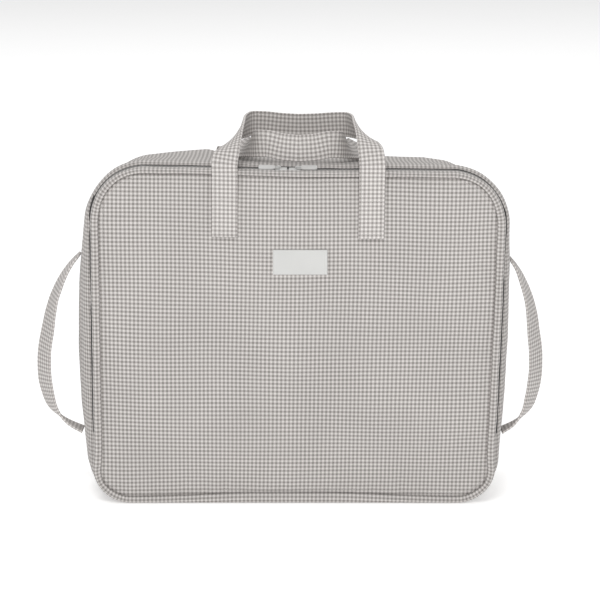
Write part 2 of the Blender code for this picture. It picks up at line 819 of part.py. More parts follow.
def sewn_place(side, height):
    """X of the middle of a side strap's end, sewn to the left (-1) or right (1) of the gusset."""
    point = RimPoint(side * BODY_WIDTH / 2, height, side, 0)
    proud = 0.0
    for depth in (-STRAP_WIDTH / 2, 0.0, STRAP_WIDTH / 2):
        share = (SIDE_STRAP_DEPTH + depth - RIM_DEPTH) / (BACK - RIM_DEPTH)
        proud = max(proud, gusset_outer(point, share))
    return point.x + side * (proud + STRAP_THICKNESS / 2 + GAP)


def build_side_strap(name, side, stand):
    """A loop of strap on one side of the gusset, sewn to it at both ends."""
    bottom = SIDE_STRAP_TOP - SIDE_STRAP_DROP
    controls = []

    def add(x, height, turn):
        controls.append((Vector((x, SIDE_STRAP_DEPTH, height)), turn))

    top_x = sewn_place(side, SIDE_STRAP_TOP)
    bottom_x = sewn_place(side, bottom)
    add(top_x, SIDE_STRAP_TOP, 0.0)
    for row in SIDE_STRAP_ROWS:
        between = top_x + (bottom_x - top_x) * row.drop_share
        x = between + side * stand * row.stand_share
        add(x, SIDE_STRAP_TOP - SIDE_STRAP_DROP * row.drop_share, row.turn)
    add(bottom_x, bottom, 0.0)
    places = []
    ways = []
    for place, turn in smooth_path(controls, SIDE_STRAP_STEPS):
        angle = math.radians(turn)
        places.append(place)
        ways.append(Vector((side * math.sin(angle), math.cos(angle), 0)))
    return ribbon(name, places, ways, STRAP_CLOTH)


def build_label():
    """A thin patch sewn on the front panel, bare."""
    columns = 5
    bevel = LABEL_THICKNESS * 0.5
    rings = []
    for column in range(columns):
        x = LABEL_X - LABEL_WIDTH / 2 + LABEL_WIDTH * column / (columns - 1)
        section = []
        low = LABEL_MIDDLE_HEIGHT - LABEL_HEIGHT / 2
        high = LABEL_MIDDLE_HEIGHT + LABEL_HEIGHT / 2
        for z, out in ((low, 0), (low, LABEL_THICKNESS - bevel), (low + bevel, LABEL_THICKNESS),
                       (high - bevel, LABEL_THICKNESS), (high, LABEL_THICKNESS - bevel), (high, 0)):
            section.append(sag(x, FRONT_SEAM - panel_face(x, z) - GAP - out, z))
        rings.append(section)
    return loft("label_patch", rings, LABEL_LEATHER, closed=False)


def build_case():
    clear_scene()
    build_gusset()
    build_front_border()
    build_panel("front_panel", seam_offset, -1, FRONT_SEAM)
    build_panel("back_panel", back_seam, 1, BACK_SEAM)
    build_zip_tapes()
    build_zip_coil()
    build_flap_hinge()
    for name, outward in (("left", -1), ("right", 1)):
        build_slider("zip_slider_" + name, outward)
        build_pull("zip_pull_" + name, outward)
    build_handle("front_handle", FRONT_HANDLE_LEFT, FRONT_HANDLE_RIGHT, -1, FRONT_HANDLE_REACH)
    build_handle("back_handle", BACK_HANDLE_ROWS, BACK_HANDLE_ROWS, 1, BACK_HANDLE_REACH)
    build_side_strap("side_strap_left", -1, LEFT_STRAP_STAND)
    build_side_strap("side_strap_right", 1, RIGHT_STRAP_STAND)
    build_label()


build_case()
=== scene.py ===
"""Looks of a padded suitcase in gingham cloth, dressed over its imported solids.

Metres, +Z up, the front panel faces -Y. The rim is the line that the zip follows round the case. A
cross-section there has an offset, outward from the rim, and a depth, along Y. Cloth has its weave laid
out in metres in the UV map "cloth".
"""

import math
from collections import namedtuple

import bpy
import numpy as np
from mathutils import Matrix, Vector, noise
from mathutils.bvhtree import BVHTree


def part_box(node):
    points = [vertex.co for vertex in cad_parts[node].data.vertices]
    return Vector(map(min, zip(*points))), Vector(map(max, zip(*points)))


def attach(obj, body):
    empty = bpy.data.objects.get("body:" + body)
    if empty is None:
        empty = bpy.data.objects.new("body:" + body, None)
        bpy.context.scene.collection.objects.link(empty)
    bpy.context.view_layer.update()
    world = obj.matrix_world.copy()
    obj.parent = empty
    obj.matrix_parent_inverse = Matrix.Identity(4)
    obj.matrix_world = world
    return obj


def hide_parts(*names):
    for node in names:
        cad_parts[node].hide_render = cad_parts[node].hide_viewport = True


# Size of the case along the rim, before the cloth sags
BODY_WIDTH = 0.441
BODY_HEIGHT = 0.3615
BODY_DEPTH = 0.150
TOP_RADIUS = 0.060
BOTTOM_RADIUS = 0.042
GAP = 0.0003

# Padded walls
PANEL_THICKNESS = 0.006
PANEL_CROWN = 0.007
GUSSET_WALL = 0.005
LEFT_BULGE = 0.018
RIGHT_BULGE = 0.010
TOP_DROP = 0.010
EDGE_PUFF = 0.0015
BACK_ROLL = 0.009
BORDER_WIDTH = 0.0088
BORDER_DEPTH = 0.0115
BORDER_PUFF = 0.0025
BORDER_STEP = 0.003
BORDER_NARROWING = 0.35

# How the standing case sags
RIGHT_TAPER = 0.0105
TOP_TILT = 0.0033
TOP_SAG = 0.0016
SAG_LENGTH = 0.240

# Zip
ZIP_END_HEIGHT = 0.066
ZIP_RECESS = 0.0032
ZIP_GAP = 0.0071
TAPE_THICKNESS = 0.0008
TAPE_EDGE = 0.0004
COIL_WIDTH = 0.0036
COIL_HEIGHT = 0.0016
TOOTH_PITCH = 0.00125
TOOTH_WIRE = 0.0006

# Straps
STRAP_WIDTH = 0.027
STRAP_THICKNESS = 0.003
LEG_SPACING = 0.153
LEG_FOOT_HEIGHT = 0.289
HANDLE_GRIP_RISE = 0.035
FRONT_HANDLE_REACH = 0.103
BACK_HANDLE_REACH = 0.127
SIDE_STRAP_TOP = 0.256
SIDE_STRAP_DROP = 0.192
SIDE_STRAP_DEPTH = -0.008
LEFT_STRAP_STAND = 0.0415
RIGHT_STRAP_STAND = 0.034

# Thread
STITCH_LENGTH = 0.0024
STITCH_GAP = 0.0007
THREAD_DIAMETER = 0.00042
STRAP_STITCH_INSET = 0.0025
PANEL_STITCH_INSET = 0.0042
LEG_SEAMS = (0.0045, 0.0385)
LOOP_SEAMS = (0.0035, 0.0085)
SETTLE_REACH = 0.003

# Cloth at the seams: how far a panel runs under its border, how deep it is pulled in there, and how far
# the lips of the zip's slit reach over it
SEAM_UNDERLAP = 0.0006
SEAM_TUCK = 0.0005
STITCH_PRESS = 0.0006
ZIP_LIP = 0.0014
SLIDERS_MIDDLE = -0.011
SLIDERS_CLEARANCE = 0.015

# Unevenness of the padding and of the cloth over it
PANEL_SWELL = 0.0018
SEAM_GATHER = 0.0014
STRAP_WAVE = 0.00025
STRAP_WANDER = 0.005
BACK_HANDLE_BREADTH = 1.05

# Check cloth
CHECK_PITCH = 0.00436
YARN_PITCH = CHECK_PITCH / 16
YARN_RELIEF = 0.00006
CLOTH_TONES = ((0.62, 0.592, 0.572), (0.41, 0.388, 0.372), (0.236, 0.219, 0.208))
# The straps wear the panels' check painted lighter: painted light on the shaded handles and loops
STRAP_TONES_PAINTED_LIGHT = ((0.69, 0.66, 0.64), (0.465, 0.44, 0.423), (0.28, 0.26, 0.248))

# Size of a mesh face along the rim, across a panel and along a strap
RIM_STEP = 0.003
PANEL_STEP = 0.003
STRAP_STEP = 0.0022

FRONT = -BODY_DEPTH / 2
BACK = BODY_DEPTH / 2
FRONT_SEAM = FRONT + BORDER_PUFF * 0.4
BACK_SEAM = BACK - BORDER_PUFF
BORDER_REAR = FRONT + BORDER_DEPTH
RIM_DEPTH = BORDER_REAR + ZIP_GAP
ZIP_TILT = math.atan2(BORDER_STEP, ZIP_GAP)
PANEL_MIDDLE = (BODY_HEIGHT - BORDER_STEP) / 2

RimPoint = namedtuple("RimPoint", "x z out_x out_z along")

# Width of the border along the rim, as a share of BORDER_WIDTH, at shares of the height
BorderRow = namedtuple("BorderRow", "height_share width_share")
BORDER_ROWS = (
    BorderRow(0.00, 1.35),
    BorderRow(0.06, 1.05),
    BorderRow(0.30, 1.00),
    BorderRow(0.85, 1.00),
    BorderRow(1.00, 0.65),
)

# Outer side of the gusset from the rim to the back
GussetRow = namedtuple("GussetRow", "back_share bulge_share puff_share drop_share")
GUSSET_ROWS = (
    GussetRow(0.02, 0.12, 0.60, 0.00),
    GussetRow(0.07, 0.38, 1.00, 0.02),
    GussetRow(0.20, 0.74, 0.55, 0.12),
    GussetRow(0.36, 0.95, 0.15, 0.32),
    GussetRow(0.52, 1.00, 0.00, 0.55),
    GussetRow(0.70, 0.88, 0.10, 0.78),
    GussetRow(0.84, 0.58, 0.50, 0.95),
    GussetRow(0.92, 0.30, 0.70, 1.00),
)

# How far the back of the gusset's top lies below the rim, as a share of TOP_DROP, at shares of half the
# width. The back handle presses it down between its legs.
TopRow = namedtuple("TopRow", "across_share drop_share")
TOP_ROWS = (
    TopRow(-1.00, 1.40),
    TopRow(-0.90, 1.20),
    TopRow(-0.73, 0.80),
    TopRow(-0.60, 0.45),
    TopRow(-0.45, 0.12),
    TopRow(-0.38, 0.50),
    TopRow(0.38, 0.60),
    TopRow(0.62, 0.70),
    TopRow(0.72, 1.02),
    TopRow(0.86, 1.75),
    TopRow(1.00, 2.00),
)

# Free part of a handle, from the rim to the middle of the grip
HandleRow = namedtuple("HandleRow", "across_share reach_share rise_share lean")
FRONT_HANDLE_LEFT = (
    HandleRow(1.00, 0.000, -0.26, 0),
    HandleRow(1.00, 0.008, 0.12, 1),
    HandleRow(0.98, 0.060, 0.36, 9),
    HandleRow(0.93, 0.230, 0.60, 30),
    HandleRow(0.83, 0.500, 0.85, 60),
    HandleRow(0.74, 0.780, 0.98, 82),
    HandleRow(0.64, 0.935, 1.01, 89),
    HandleRow(0.48, 0.985, 1.00, 90),
    HandleRow(0.24, 1.000, 0.96, 90),
    HandleRow(0.00, 1.005, 0.94, 90),
)
FRONT_HANDLE_RIGHT = (
    HandleRow(1.00, 0.000, -0.26, 0),
    HandleRow(1.00, 0.010, 0.17, 1),
    HandleRow(0.985, 0.062, 0.50, 7),
    HandleRow(0.945, 0.220, 0.79, 25),
    HandleRow(0.855, 0.500, 0.97, 53),
    HandleRow(0.76, 0.780, 1.02, 80),
    HandleRow(0.66, 0.935, 1.02, 89),
    HandleRow(0.48, 0.985, 1.00, 90),
    HandleRow(0.24, 1.000, 0.96, 90),
    HandleRow(0.00, 1.005, 0.94, 90),
)
BACK_HANDLE_ROWS = (
    HandleRow(1.000, 0.000, -0.30, 0),
    HandleRow(0.998, 0.014, -0.10, 0),
    HandleRow(0.985, 0.055, 0.02, 1),
    HandleRow(0.950, 0.140, 0.12, 10),
    HandleRow(0.855, 0.360, 0.31, 30),
    HandleRow(0.775, 0.530, 0.29, 42),
    HandleRow(0.710, 0.640, 0.36, 54),
    HandleRow(0.655, 0.770, 0.50, 76),
    HandleRow(0.600, 0.870, 0.57, 86),
    HandleRow(0.550, 0.915, 0.60, 88),
    HandleRow(0.440, 0.950, 0.62, 90),
    HandleRow(0.220, 0.985, 0.55, 90),
    HandleRow(0.000, 1.000, 0.52, 90),
)

# A side strap from its upper to its lower end
StrapRow = namedtuple("StrapRow", "drop_share stand_share turn")
SIDE_STRAP_ROWS = (
    StrapRow(0.035, 0.15, 4),
    StrapRow(0.10, 0.36, 12),
    StrapRow(0.24, 0.67, 22),
    StrapRow(0.42, 0.87, 32),
    StrapRow(0.62, 1.00, 36),
    StrapRow(0.76, 0.95, 36),
    StrapRow(0.88, 0.76, 27),
    StrapRow(0.95, 0.44, 13),
)
CROWN_POWER = 5

# Creases of the front panel, from a place at the seam inward
CreaseRow = namedtuple("CreaseRow", "x z run_x run_z width depth")
CREASES = (
    CreaseRow(-0.204, 0.308, 0.034, 0.004, 0.0028, 0.0011),
    CreaseRow(-0.205, 0.190, 0.022, -0.003, 0.0035, 0.0007),
    CreaseRow(-0.014, 0.336, 0.003, -0.040, 0.0030, 0.0010),
    CreaseRow(0.044, 0.336, -0.002, -0.026, 0.0030, 0.0007),
    CreaseRow(-0.075, 0.014, 0.004, 0.030, 0.0040, 0.0008),
    CreaseRow(0.118, 0.014, -0.006, 0.026, 0.0040, 0.0008),
    CreaseRow(0.198, 0.262, -0.026, -0.002, 0.0032, 0.0008),
    CreaseRow(0.196, 0.120, -0.030, 0.004, 0.0036, 0.0008),
)

# Camera, with the photo's frame of 600 by 600 pixels
CAMERA_ANGLE = math.radians(11)
CAMERA_DISTANCE = 2.5
CAMERA_HEIGHT = 0.20663
CAMERA_LENS = 138.65
CAMERA_SHIFT = 0.0025
SENSOR_WIDTH = 36

# Studio: a pale paper floor and soft light
FLOOR_SIZE = 24
FLOOR_GLOW = 0.36
WORLD_LIGHT = 0.44
Lamp = namedtuple("Lamp", "name place size power")
LAMPS = (
    Lamp("key", (-0.35, -1.8, 2.1), 0.8, 20),
    Lamp("front", (0.3, -2.6, 1.3), 1.4, 16),
    Lamp("top", (0.0, 2.5, 6.0), 7.0, 190),
)


# Shape of the case

def blend_rows(rows, key, value, at):
    """Value of a table's column where its key column reaches a number, eased between rows."""
    places = [getattr(row, key) for row in rows]
    values = [getattr(row, value) for row in rows]
    if at <= places[0]:
        return values[0]
    for low in range(len(rows) - 1):
        if at <= places[low + 1]:
            share = (at - places[low]) / (places[low + 1] - places[low])
            eased = share * share * (3 - 2 * share)
            return values[low] + (values[low + 1] - values[low]) * eased
    return values[-1]


def line_rows(rows, key, value, at):
    """Value of a table's column where its key column reaches a number, straight between rows."""
    for low, high in zip(rows, rows[1:]):
        if at <= getattr(high, key):
            start, end = getattr(low, key), getattr(high, key)
            share = max(0.0, (at - start) / (end - start))
            return getattr(low, value) + (getattr(high, value) - getattr(low, value)) * share
    return getattr(rows[-1], value)


def smooth_step(low, high, at):
    share = min(1.0, max(0.0, (at - low) / (high - low)))
    return share * share * (3 - 2 * share)


def hump(at, middle, half_width):
    """A smooth hump of height 1 round a middle."""
    return math.exp(-((at - middle) / half_width) ** 2)


def sag(x, y, z):
    """Where a point of the case goes when it stands."""
    across = x / (BODY_WIDTH / 2)
    up = max(0.0, z / BODY_HEIGHT)
    taper = RIGHT_TAPER * max(0.0, 1 - up) ** 1.3 * (1 + across) / 2
    dip = 0.0
    if abs(x) < SAG_LENGTH / 2:
        dip = TOP_SAG * math.cos(math.pi * x / SAG_LENGTH) ** 2
    return Vector((x - taper, y, z - up * (TOP_TILT * across + dip)))


def line_run(start, end, out):
    """Points of a straight stretch of the rim, without its last one."""
    length = math.dist(start, end)
    steps = max(1, round(length / RIM_STEP))
    return [
        (start[0] + (end[0] - start[0]) * step / steps, start[1] + (end[1] - start[1]) * step / steps, *out)
        for step in range(steps)
    ]


def corner_run(middle, radius, first_angle):
    """Points of a quarter circle of the rim, without its last one."""
    steps = round(radius * math.pi / 2 / RIM_STEP)
    points = []
    for step in range(steps):
        angle = math.radians(first_angle + 90 * step / steps)
        out_x, out_z = math.cos(angle), math.sin(angle)
        points.append((middle[0] + radius * out_x, middle[1] + radius * out_z, out_x, out_z))
    return points


def measured(points):
    """Rim points with the length along the rim up to each."""
    along = 0.0
    made = []
    for index, point in enumerate(points):
        if index:
            along += math.dist(point[:2], points[index - 1][:2])
        made.append(RimPoint(*point, along))
    return made


def upper_runs(from_height):
    half = BODY_WIDTH / 2
    inner = half - TOP_RADIUS
    shoulder = BODY_HEIGHT - TOP_RADIUS
    return (
        line_run((half, from_height), (half, shoulder), (1, 0))
        + corner_run((inner, shoulder), TOP_RADIUS, 0)
        + line_run((inner, BODY_HEIGHT), (-inner, BODY_HEIGHT), (0, 1))
        + corner_run((-inner, shoulder), TOP_RADIUS, 90)
        + line_run((-half, shoulder), (-half, from_height), (-1, 0))
    )


def whole_rim():
    inner = BODY_WIDTH / 2 - BOTTOM_RADIUS
    return measured(
        line_run((-inner, 0), (inner, 0), (0, -1))
        + corner_run((inner, BOTTOM_RADIUS), BOTTOM_RADIUS, 270)
        + upper_runs(BOTTOM_RADIUS)
        + corner_run((-inner, BOTTOM_RADIUS), BOTTOM_RADIUS, 180)
    )


def zip_rim():
    return measured(upper_runs(ZIP_END_HEIGHT) + [(-BODY_WIDTH / 2, ZIP_END_HEIGHT, -1, 0)])


def hinge_rim():
    half = BODY_WIDTH / 2
    inner = half - BOTTOM_RADIUS
    end = ZIP_END_HEIGHT - GAP
    return measured(
        line_run((-half, end), (-half, BOTTOM_RADIUS), (-1, 0))
        + corner_run((-inner, BOTTOM_RADIUS), BOTTOM_RADIUS, 180)
        + line_run((-inner, 0), (inner, 0), (0, -1))
        + corner_run((inner, BOTTOM_RADIUS), BOTTOM_RADIUS, 270)
        + line_run((half, BOTTOM_RADIUS), (half, end), (1, 0))
        + [(half, end, 1, 0)]
    )


def at_rim(point, offset, depth):
    return sag(point.x + offset * point.out_x, depth, point.z + offset * point.out_z)


def border_outer(point):
    return -BORDER_STEP * smooth_step(BOTTOM_RADIUS * 0.3, ZIP_END_HEIGHT, point.z)


def seam_offset(point):
    """Offset of the seam between the border and the front panel."""
    share = blend_rows(BORDER_ROWS, "height_share", "width_share", point.z / BODY_HEIGHT)
    corner = smooth_step(0.15, 0.80, abs(point.x) / (BODY_WIDTH / 2)) * max(0.0, -point.out_z)
    return border_outer(point) - BORDER_WIDTH * share * (1 - BORDER_NARROWING * corner)


def side_bulge(point):
    height = point.z / BODY_HEIGHT
    tallness = max(0.0, 1 - ((height - 0.45) / 0.5) ** 2)
    bulge = RIGHT_BULGE if point.out_x > 0 else LEFT_BULGE
    return bulge * tallness * abs(point.out_x) ** 1.5


def gusset_outer(point, back_share):
    """Offset of the gusset's outer side at a share of the way from the rim to the back."""
    upward = max(0.0, point.out_z)
    free = 1 - smooth_step(0.6, 1.0, -point.out_z)
    bulge = blend_rows(GUSSET_ROWS, "back_share", "bulge_share", back_share) * side_bulge(point)
    puff = blend_rows(GUSSET_ROWS, "back_share", "puff_share", back_share) * EDGE_PUFF * free
    drop = blend_rows(GUSSET_ROWS, "back_share", "drop_share", back_share)
    top = line_rows(TOP_ROWS, "across_share", "drop_share", point.x / (BODY_WIDTH / 2)) * TOP_DROP
    return bulge + puff - drop * top * upward


def back_seam(point):
    return gusset_outer(point, GUSSET_ROWS[-1].back_share) - BACK_ROLL


def gusset_depth(back_share):
    return RIM_DEPTH + (BACK - RIM_DEPTH) * back_share


def crown(share):
    """How far a panel stands out at a share of the way from its middle to its seam."""
    return PANEL_CROWN * (1 - min(1.0, share) ** CROWN_POWER)


def panel_face(x, z):
    half_width = BODY_WIDTH / 2 - BORDER_STEP - BORDER_WIDTH
    half_height = BODY_HEIGHT - BORDER_STEP - BORDER_WIDTH * BORDER_ROWS[-1].width_share - PANEL_MIDDLE
    return crown(max(abs(x) / half_width, abs(z - PANEL_MIDDLE) / half_height))


def zip_place(point, along, above):
    """Offset and depth in the zip's own plane: along runs towards the gusset, above stands up."""
    tilt_sin, tilt_cos = math.sin(ZIP_TILT), math.cos(ZIP_TILT)
    offset = border_outer(point) / 2 - ZIP_RECESS + along * tilt_sin + above * tilt_cos
    depth = BORDER_REAR + ZIP_GAP / 2 + along * tilt_cos - above * tilt_sin
    return offset, depth


# Mesh tools

def mesh_object(name, verts, faces, corner_uvs, look):
    """An object from points, faces of point indices, and one UV place for each face corner."""
    mesh = bpy.data.meshes.new(name)
    mesh.from_pydata([tuple(v) for v in verts], [], faces)
    layer = mesh.uv_layers.new(name="cloth")
    layer.data.foreach_set("uv", np.asarray(corner_uvs, np.float32).ravel())
    mesh.shade_smooth()
    mesh.materials.append(look)
    made = bpy.data.objects.new(name, mesh)
    bpy.context.scene.collection.objects.link(made)
    return made


def grid_faces(rows, columns, wrap_rows, wrap_columns, uvs, flip=False):
    """Faces of a grid of points, and the UV places of their corners. The UV grid has one more row or
    column than the points where they wrap."""
    faces, corners = [], []
    for row in range(rows - 1 + wrap_rows):
        for column in range(columns - 1 + wrap_columns):
            spots = [(row, column), (row, column + 1), (row + 1, column + 1), (row + 1, column)]
            if flip:
                spots.reverse()
            faces.append([(r % rows) * columns + c % columns for r, c in spots])
            corners.extend(uvs[r][c] for r, c in spots)
    return faces, corners


def sweep(name, rim, section_of, look, closed):
    """A closed section carried along rim points. Section_of gives the section's (offset, depth)
    points. The UV runs along the rim and round the section."""
    rings = [section_of(point) for point in rim]
    places = [[at_rim(point, *spot) for spot in ring] for point, ring in zip(rim, rings)]
    length = rim[-1].along + (math.dist(rim[-1][:2], rim[0][:2]) if closed else 0.0)
    uvs = []
    for index in range(len(rim) + closed):
        row = index % len(rim)
        ring = rings[row] + rings[row][:1]
        around = [0.0]
        for first, second in zip(ring, ring[1:]):
            around.append(around[-1] + math.dist(first, second))
        along = length if index == len(rim) else rim[row].along
        uvs.append([(along, v) for v in around])
    columns = len(rings[0])
    faces, corners = grid_faces(len(rim), columns, closed, True, uvs)
    if not closed:
        for row, spots in ((0, range(columns)), (len(rim) - 1, reversed(range(columns)))):
            spots = list(spots)
            faces.append([row * columns + c for c in spots])
            corners.extend(uvs[row][c] for c in spots)
    verts = [spot for ring in places for spot in ring]
    return mesh_object(name, verts, faces, corners, look)


def face_out(made):
    """Turn all faces outward."""
    import bmesh

    mesh_data = bmesh.new()
    mesh_data.from_mesh(made.data)
    bmesh.ops.recalc_face_normals(mesh_data, faces=mesh_data.faces)
    mesh_data.to_mesh(made.data)
    mesh_data.free()
    return made


def relieve(made, height_of):
    """Move each point of a mesh along its normal by height_of(place)."""
    mesh = made.data
    moved = [v.co + v.normal * height_of(v.co) for v in mesh.vertices]
    mesh.vertices.foreach_set("co", np.array(moved, np.float32).ravel())
    mesh.update()
    return made


# Materials

def new_material(name):
    made = bpy.data.materials.new(name)
    made.use_nodes = True
    return made, made.node_tree, made.node_tree.nodes["Principled BSDF"]


def add_node(tree, kind, inputs=(), **settings):
    """A node whose inputs are given by number or name, each a value or another node's output."""
    made = tree.nodes.new(kind)
    for key, value in settings.items():
        setattr(made, key, value)
    for key, value in dict(inputs).items():
        if isinstance(value, bpy.types.NodeSocket):
            tree.links.new(value, made.inputs[key])
        else:
            made.inputs[key].default_value = value
    return made


def maths(tree, operation, first, second=0.0):
    return add_node(tree, "ShaderNodeMath", {0: first, 1: second}, operation=operation).outputs[0]


def stripes(tree, coordinate, pitch, softness):
    """1 on the dark stripes along a coordinate and 0 on the light ones."""
    fold = maths(tree, "PINGPONG", maths(tree, "MULTIPLY", coordinate, 1 / pitch), 0.5)
    return add_node(
        tree,
        "ShaderNodeMapRange",
        {0: fold, 1: 0.25 - softness, 2: 0.25 + softness, 3: 0.0, 4: 1.0},
        interpolation_type="SMOOTHSTEP",
    ).outputs[0]


def gingham(name, light, middle, dark, roughness=0.88):
    """Check cloth woven from light and dark yarns."""
    made, tree, shader = new_material(name)
    uv = add_node(tree, "ShaderNodeUVMap", uv_map="cloth").outputs[0]
    split = add_node(tree, "ShaderNodeSeparateXYZ", {0: uv})
    u, v = split.outputs[0], split.outputs[1]
    warp = stripes(tree, u, CHECK_PITCH, 0.035)
    weft = stripes(tree, v, CHECK_PITCH, 0.035)

    # Plain weave: each yarn crossing shows the warp or the weft in turn
    warp_wave = maths(tree, "SINE", maths(tree, "MULTIPLY", u, math.pi / YARN_PITCH))
    weft_wave = maths(tree, "SINE", maths(tree, "MULTIPLY", v, math.pi / YARN_PITCH))
    crossing = maths(tree, "MULTIPLY", warp_wave, weft_wave)
    difference = maths(tree, "SUBTRACT", warp, weft)
    mixed = maths(tree, "MULTIPLY", maths(tree, "MULTIPLY", crossing, difference), 0.12)
    both = maths(tree, "MULTIPLY", maths(tree, "ADD", warp, weft), 0.5)
    darkness = maths(tree, "ADD", both, mixed)
    tones = add_node(tree, "ShaderNodeValToRGB", {0: darkness})
    tones.color_ramp.elements[0].color = (*light, 1)
    tones.color_ramp.elements[1].color = (*dark, 1)
    tones.color_ramp.elements.new(0.5).color = (*middle, 1)

    # Slubs along the yarns and soft unevenness of the dye
    slub = add_node(
        tree, "ShaderNodeTexNoise", {"Vector": uv, "Scale": 900.0, "Detail": 2.0}, noise_dimensions="2D"
    ).outputs[0]
    cloud = add_node(
        tree, "ShaderNodeTexNoise", {"Vector": uv, "Scale": 14.0, "Detail": 3.0}, noise_dimensions="2D"
    ).outputs[0]
    shade = add_node(tree, "ShaderNodeMapRange", {0: slub, 1: 0.3, 2: 0.7, 3: 0.95, 4: 1.05}).outputs[0]
    drift = add_node(tree, "ShaderNodeMapRange", {0: cloud, 1: 0.3, 2: 0.7, 3: 0.975, 4: 1.025}).outputs[0]
    both_shades = maths(tree, "MULTIPLY", shade, drift)
    tinted = add_node(tree, "ShaderNodeVectorMath", {0: tones.outputs[0]}, operation="SCALE")
    tree.links.new(both_shades, tinted.inputs["Scale"])
    tree.links.new(tinted.outputs[0], shader.inputs["Base Color"])

    yarns = maths(tree, "MAXIMUM", maths(tree, "ABSOLUTE", warp_wave), maths(tree, "ABSOLUTE", weft_wave))
    height = maths(tree, "ADD", yarns, maths(tree, "MULTIPLY", slub, 0.6))
    bump = add_node(tree, "ShaderNodeBump", {"Strength": 0.5, "Distance": YARN_RELIEF, "Height": height})
    tree.links.new(bump.outputs[0], shader.inputs["Normal"])
    shader.inputs["Roughness"].default_value = roughness
    shader.inputs["Specular IOR Level"].default_value = 0.25
    shader.inputs["Sheen Weight"].default_value = 0.12
    shader.inputs["Sheen Roughness"].default_value = 0.5
    return made


def plain_material(name, colour, roughness, metallic=0.0, grain=400.0, relief=0.00005, spread=0.06, sheen=0.0):
    """One colour with a fine grain in its shade, roughness and surface."""
    made, tree, shader = new_material(name)
    place = add_node(tree, "ShaderNodeTexCoord").outputs["Object"]
    fine = add_node(tree, "ShaderNodeTexNoise", {"Vector": place, "Scale": grain, "Detail": 4.0}).outputs[0]
    broad = add_node(tree, "ShaderNodeTexNoise", {"Vector": place, "Scale": 25.0, "Detail": 2.0}).outputs[0]
    mix = maths(tree, "ADD", maths(tree, "MULTIPLY", fine, 0.6), maths(tree, "MULTIPLY", broad, 0.4))
    tones = add_node(tree, "ShaderNodeValToRGB", {0: mix})
    tones.color_ramp.elements[0].position = 0.3
    tones.color_ramp.elements[1].position = 0.7
    tones.color_ramp.elements[0].color = (*(c * (1 - spread) for c in colour), 1)
    tones.color_ramp.elements[1].color = (*(min(1, c * (1 + spread)) for c in colour), 1)
    tree.links.new(tones.outputs[0], shader.inputs["Base Color"])
    rough = add_node(
        tree, "ShaderNodeMapRange", {0: fine, 1: 0.3, 2: 0.7, 3: roughness * 0.92, 4: min(1, roughness * 1.08)}
    ).outputs[0]
    tree.links.new(rough, shader.inputs["Roughness"])
    bump = add_node(tree, "ShaderNodeBump", {"Strength": 0.4, "Distance": relief, "Height": fine})
    tree.links.new(bump.outputs[0], shader.inputs["Normal"])
    shader.inputs["Metallic"].default_value = metallic
    shader.inputs["Sheen Weight"].default_value = sheen
    return made


def tape_material(name, colour):
    """Woven zip tape, with a herringbone of fine ribs."""
    made, tree, shader = new_material(name)
    uv = add_node(tree, "ShaderNodeUVMap", uv_map="cloth").outputs[0]
    split = add_node(tree, "ShaderNodeSeparateXYZ", {0: uv})
    u, v = split.outputs[0], split.outputs[1]
    fold = maths(tree, "PINGPONG", maths(tree, "MULTIPLY", v, 1 / 0.0012), 0.5)
    slant = maths(tree, "ADD", maths(tree, "MULTIPLY", u, 2 * math.pi / 0.0006), maths(tree, "MULTIPLY", fold, 9.0))
    rib = maths(tree, "SINE", slant)
    tones = add_node(tree, "ShaderNodeValToRGB", {0: maths(tree, "ADD", maths(tree, "MULTIPLY", rib, 0.5), 0.5)})
    tones.color_ramp.elements[0].color = (*(c * 0.86 for c in colour), 1)
    tones.color_ramp.elements[1].color = (*(min(1, c * 1.08) for c in colour), 1)
    tree.links.new(tones.outputs[0], shader.inputs["Base Color"])
    bump = add_node(tree, "ShaderNodeBump", {"Strength": 0.6, "Distance": 0.00008, "Height": rib})
    tree.links.new(bump.outputs[0], shader.inputs["Normal"])
    shader.inputs["Roughness"].default_value = 0.8
    return made


# Soft pieces

def soft_waves(place, size, seed):
    """Smooth unevenness between -1 and 1 with waves of about a size."""
    return noise.noise(Vector((place.x / size, place.y / size + seed, place.z / size)))


def lip_reach(point, seed):
    """How far the cloth beside the zip puffs over its slit. It stays clear of the sliders."""
    beside = smooth_step(SLIDERS_CLEARANCE, SLIDERS_CLEARANCE * 2, abs(point.x - SLIDERS_MIDDLE))
    upward = smooth_step(0.1, 0.7, point.out_z)
    above_end = smooth_step(ZIP_END_HEIGHT - 0.01, ZIP_END_HEIGHT + 0.02, point.z)
    wave = 1 + 0.45 * noise.noise(Vector((point.along / 0.016, seed, 0)))
    return ZIP_LIP * beside * above_end * wave * (0.15 + 0.85 * upward)


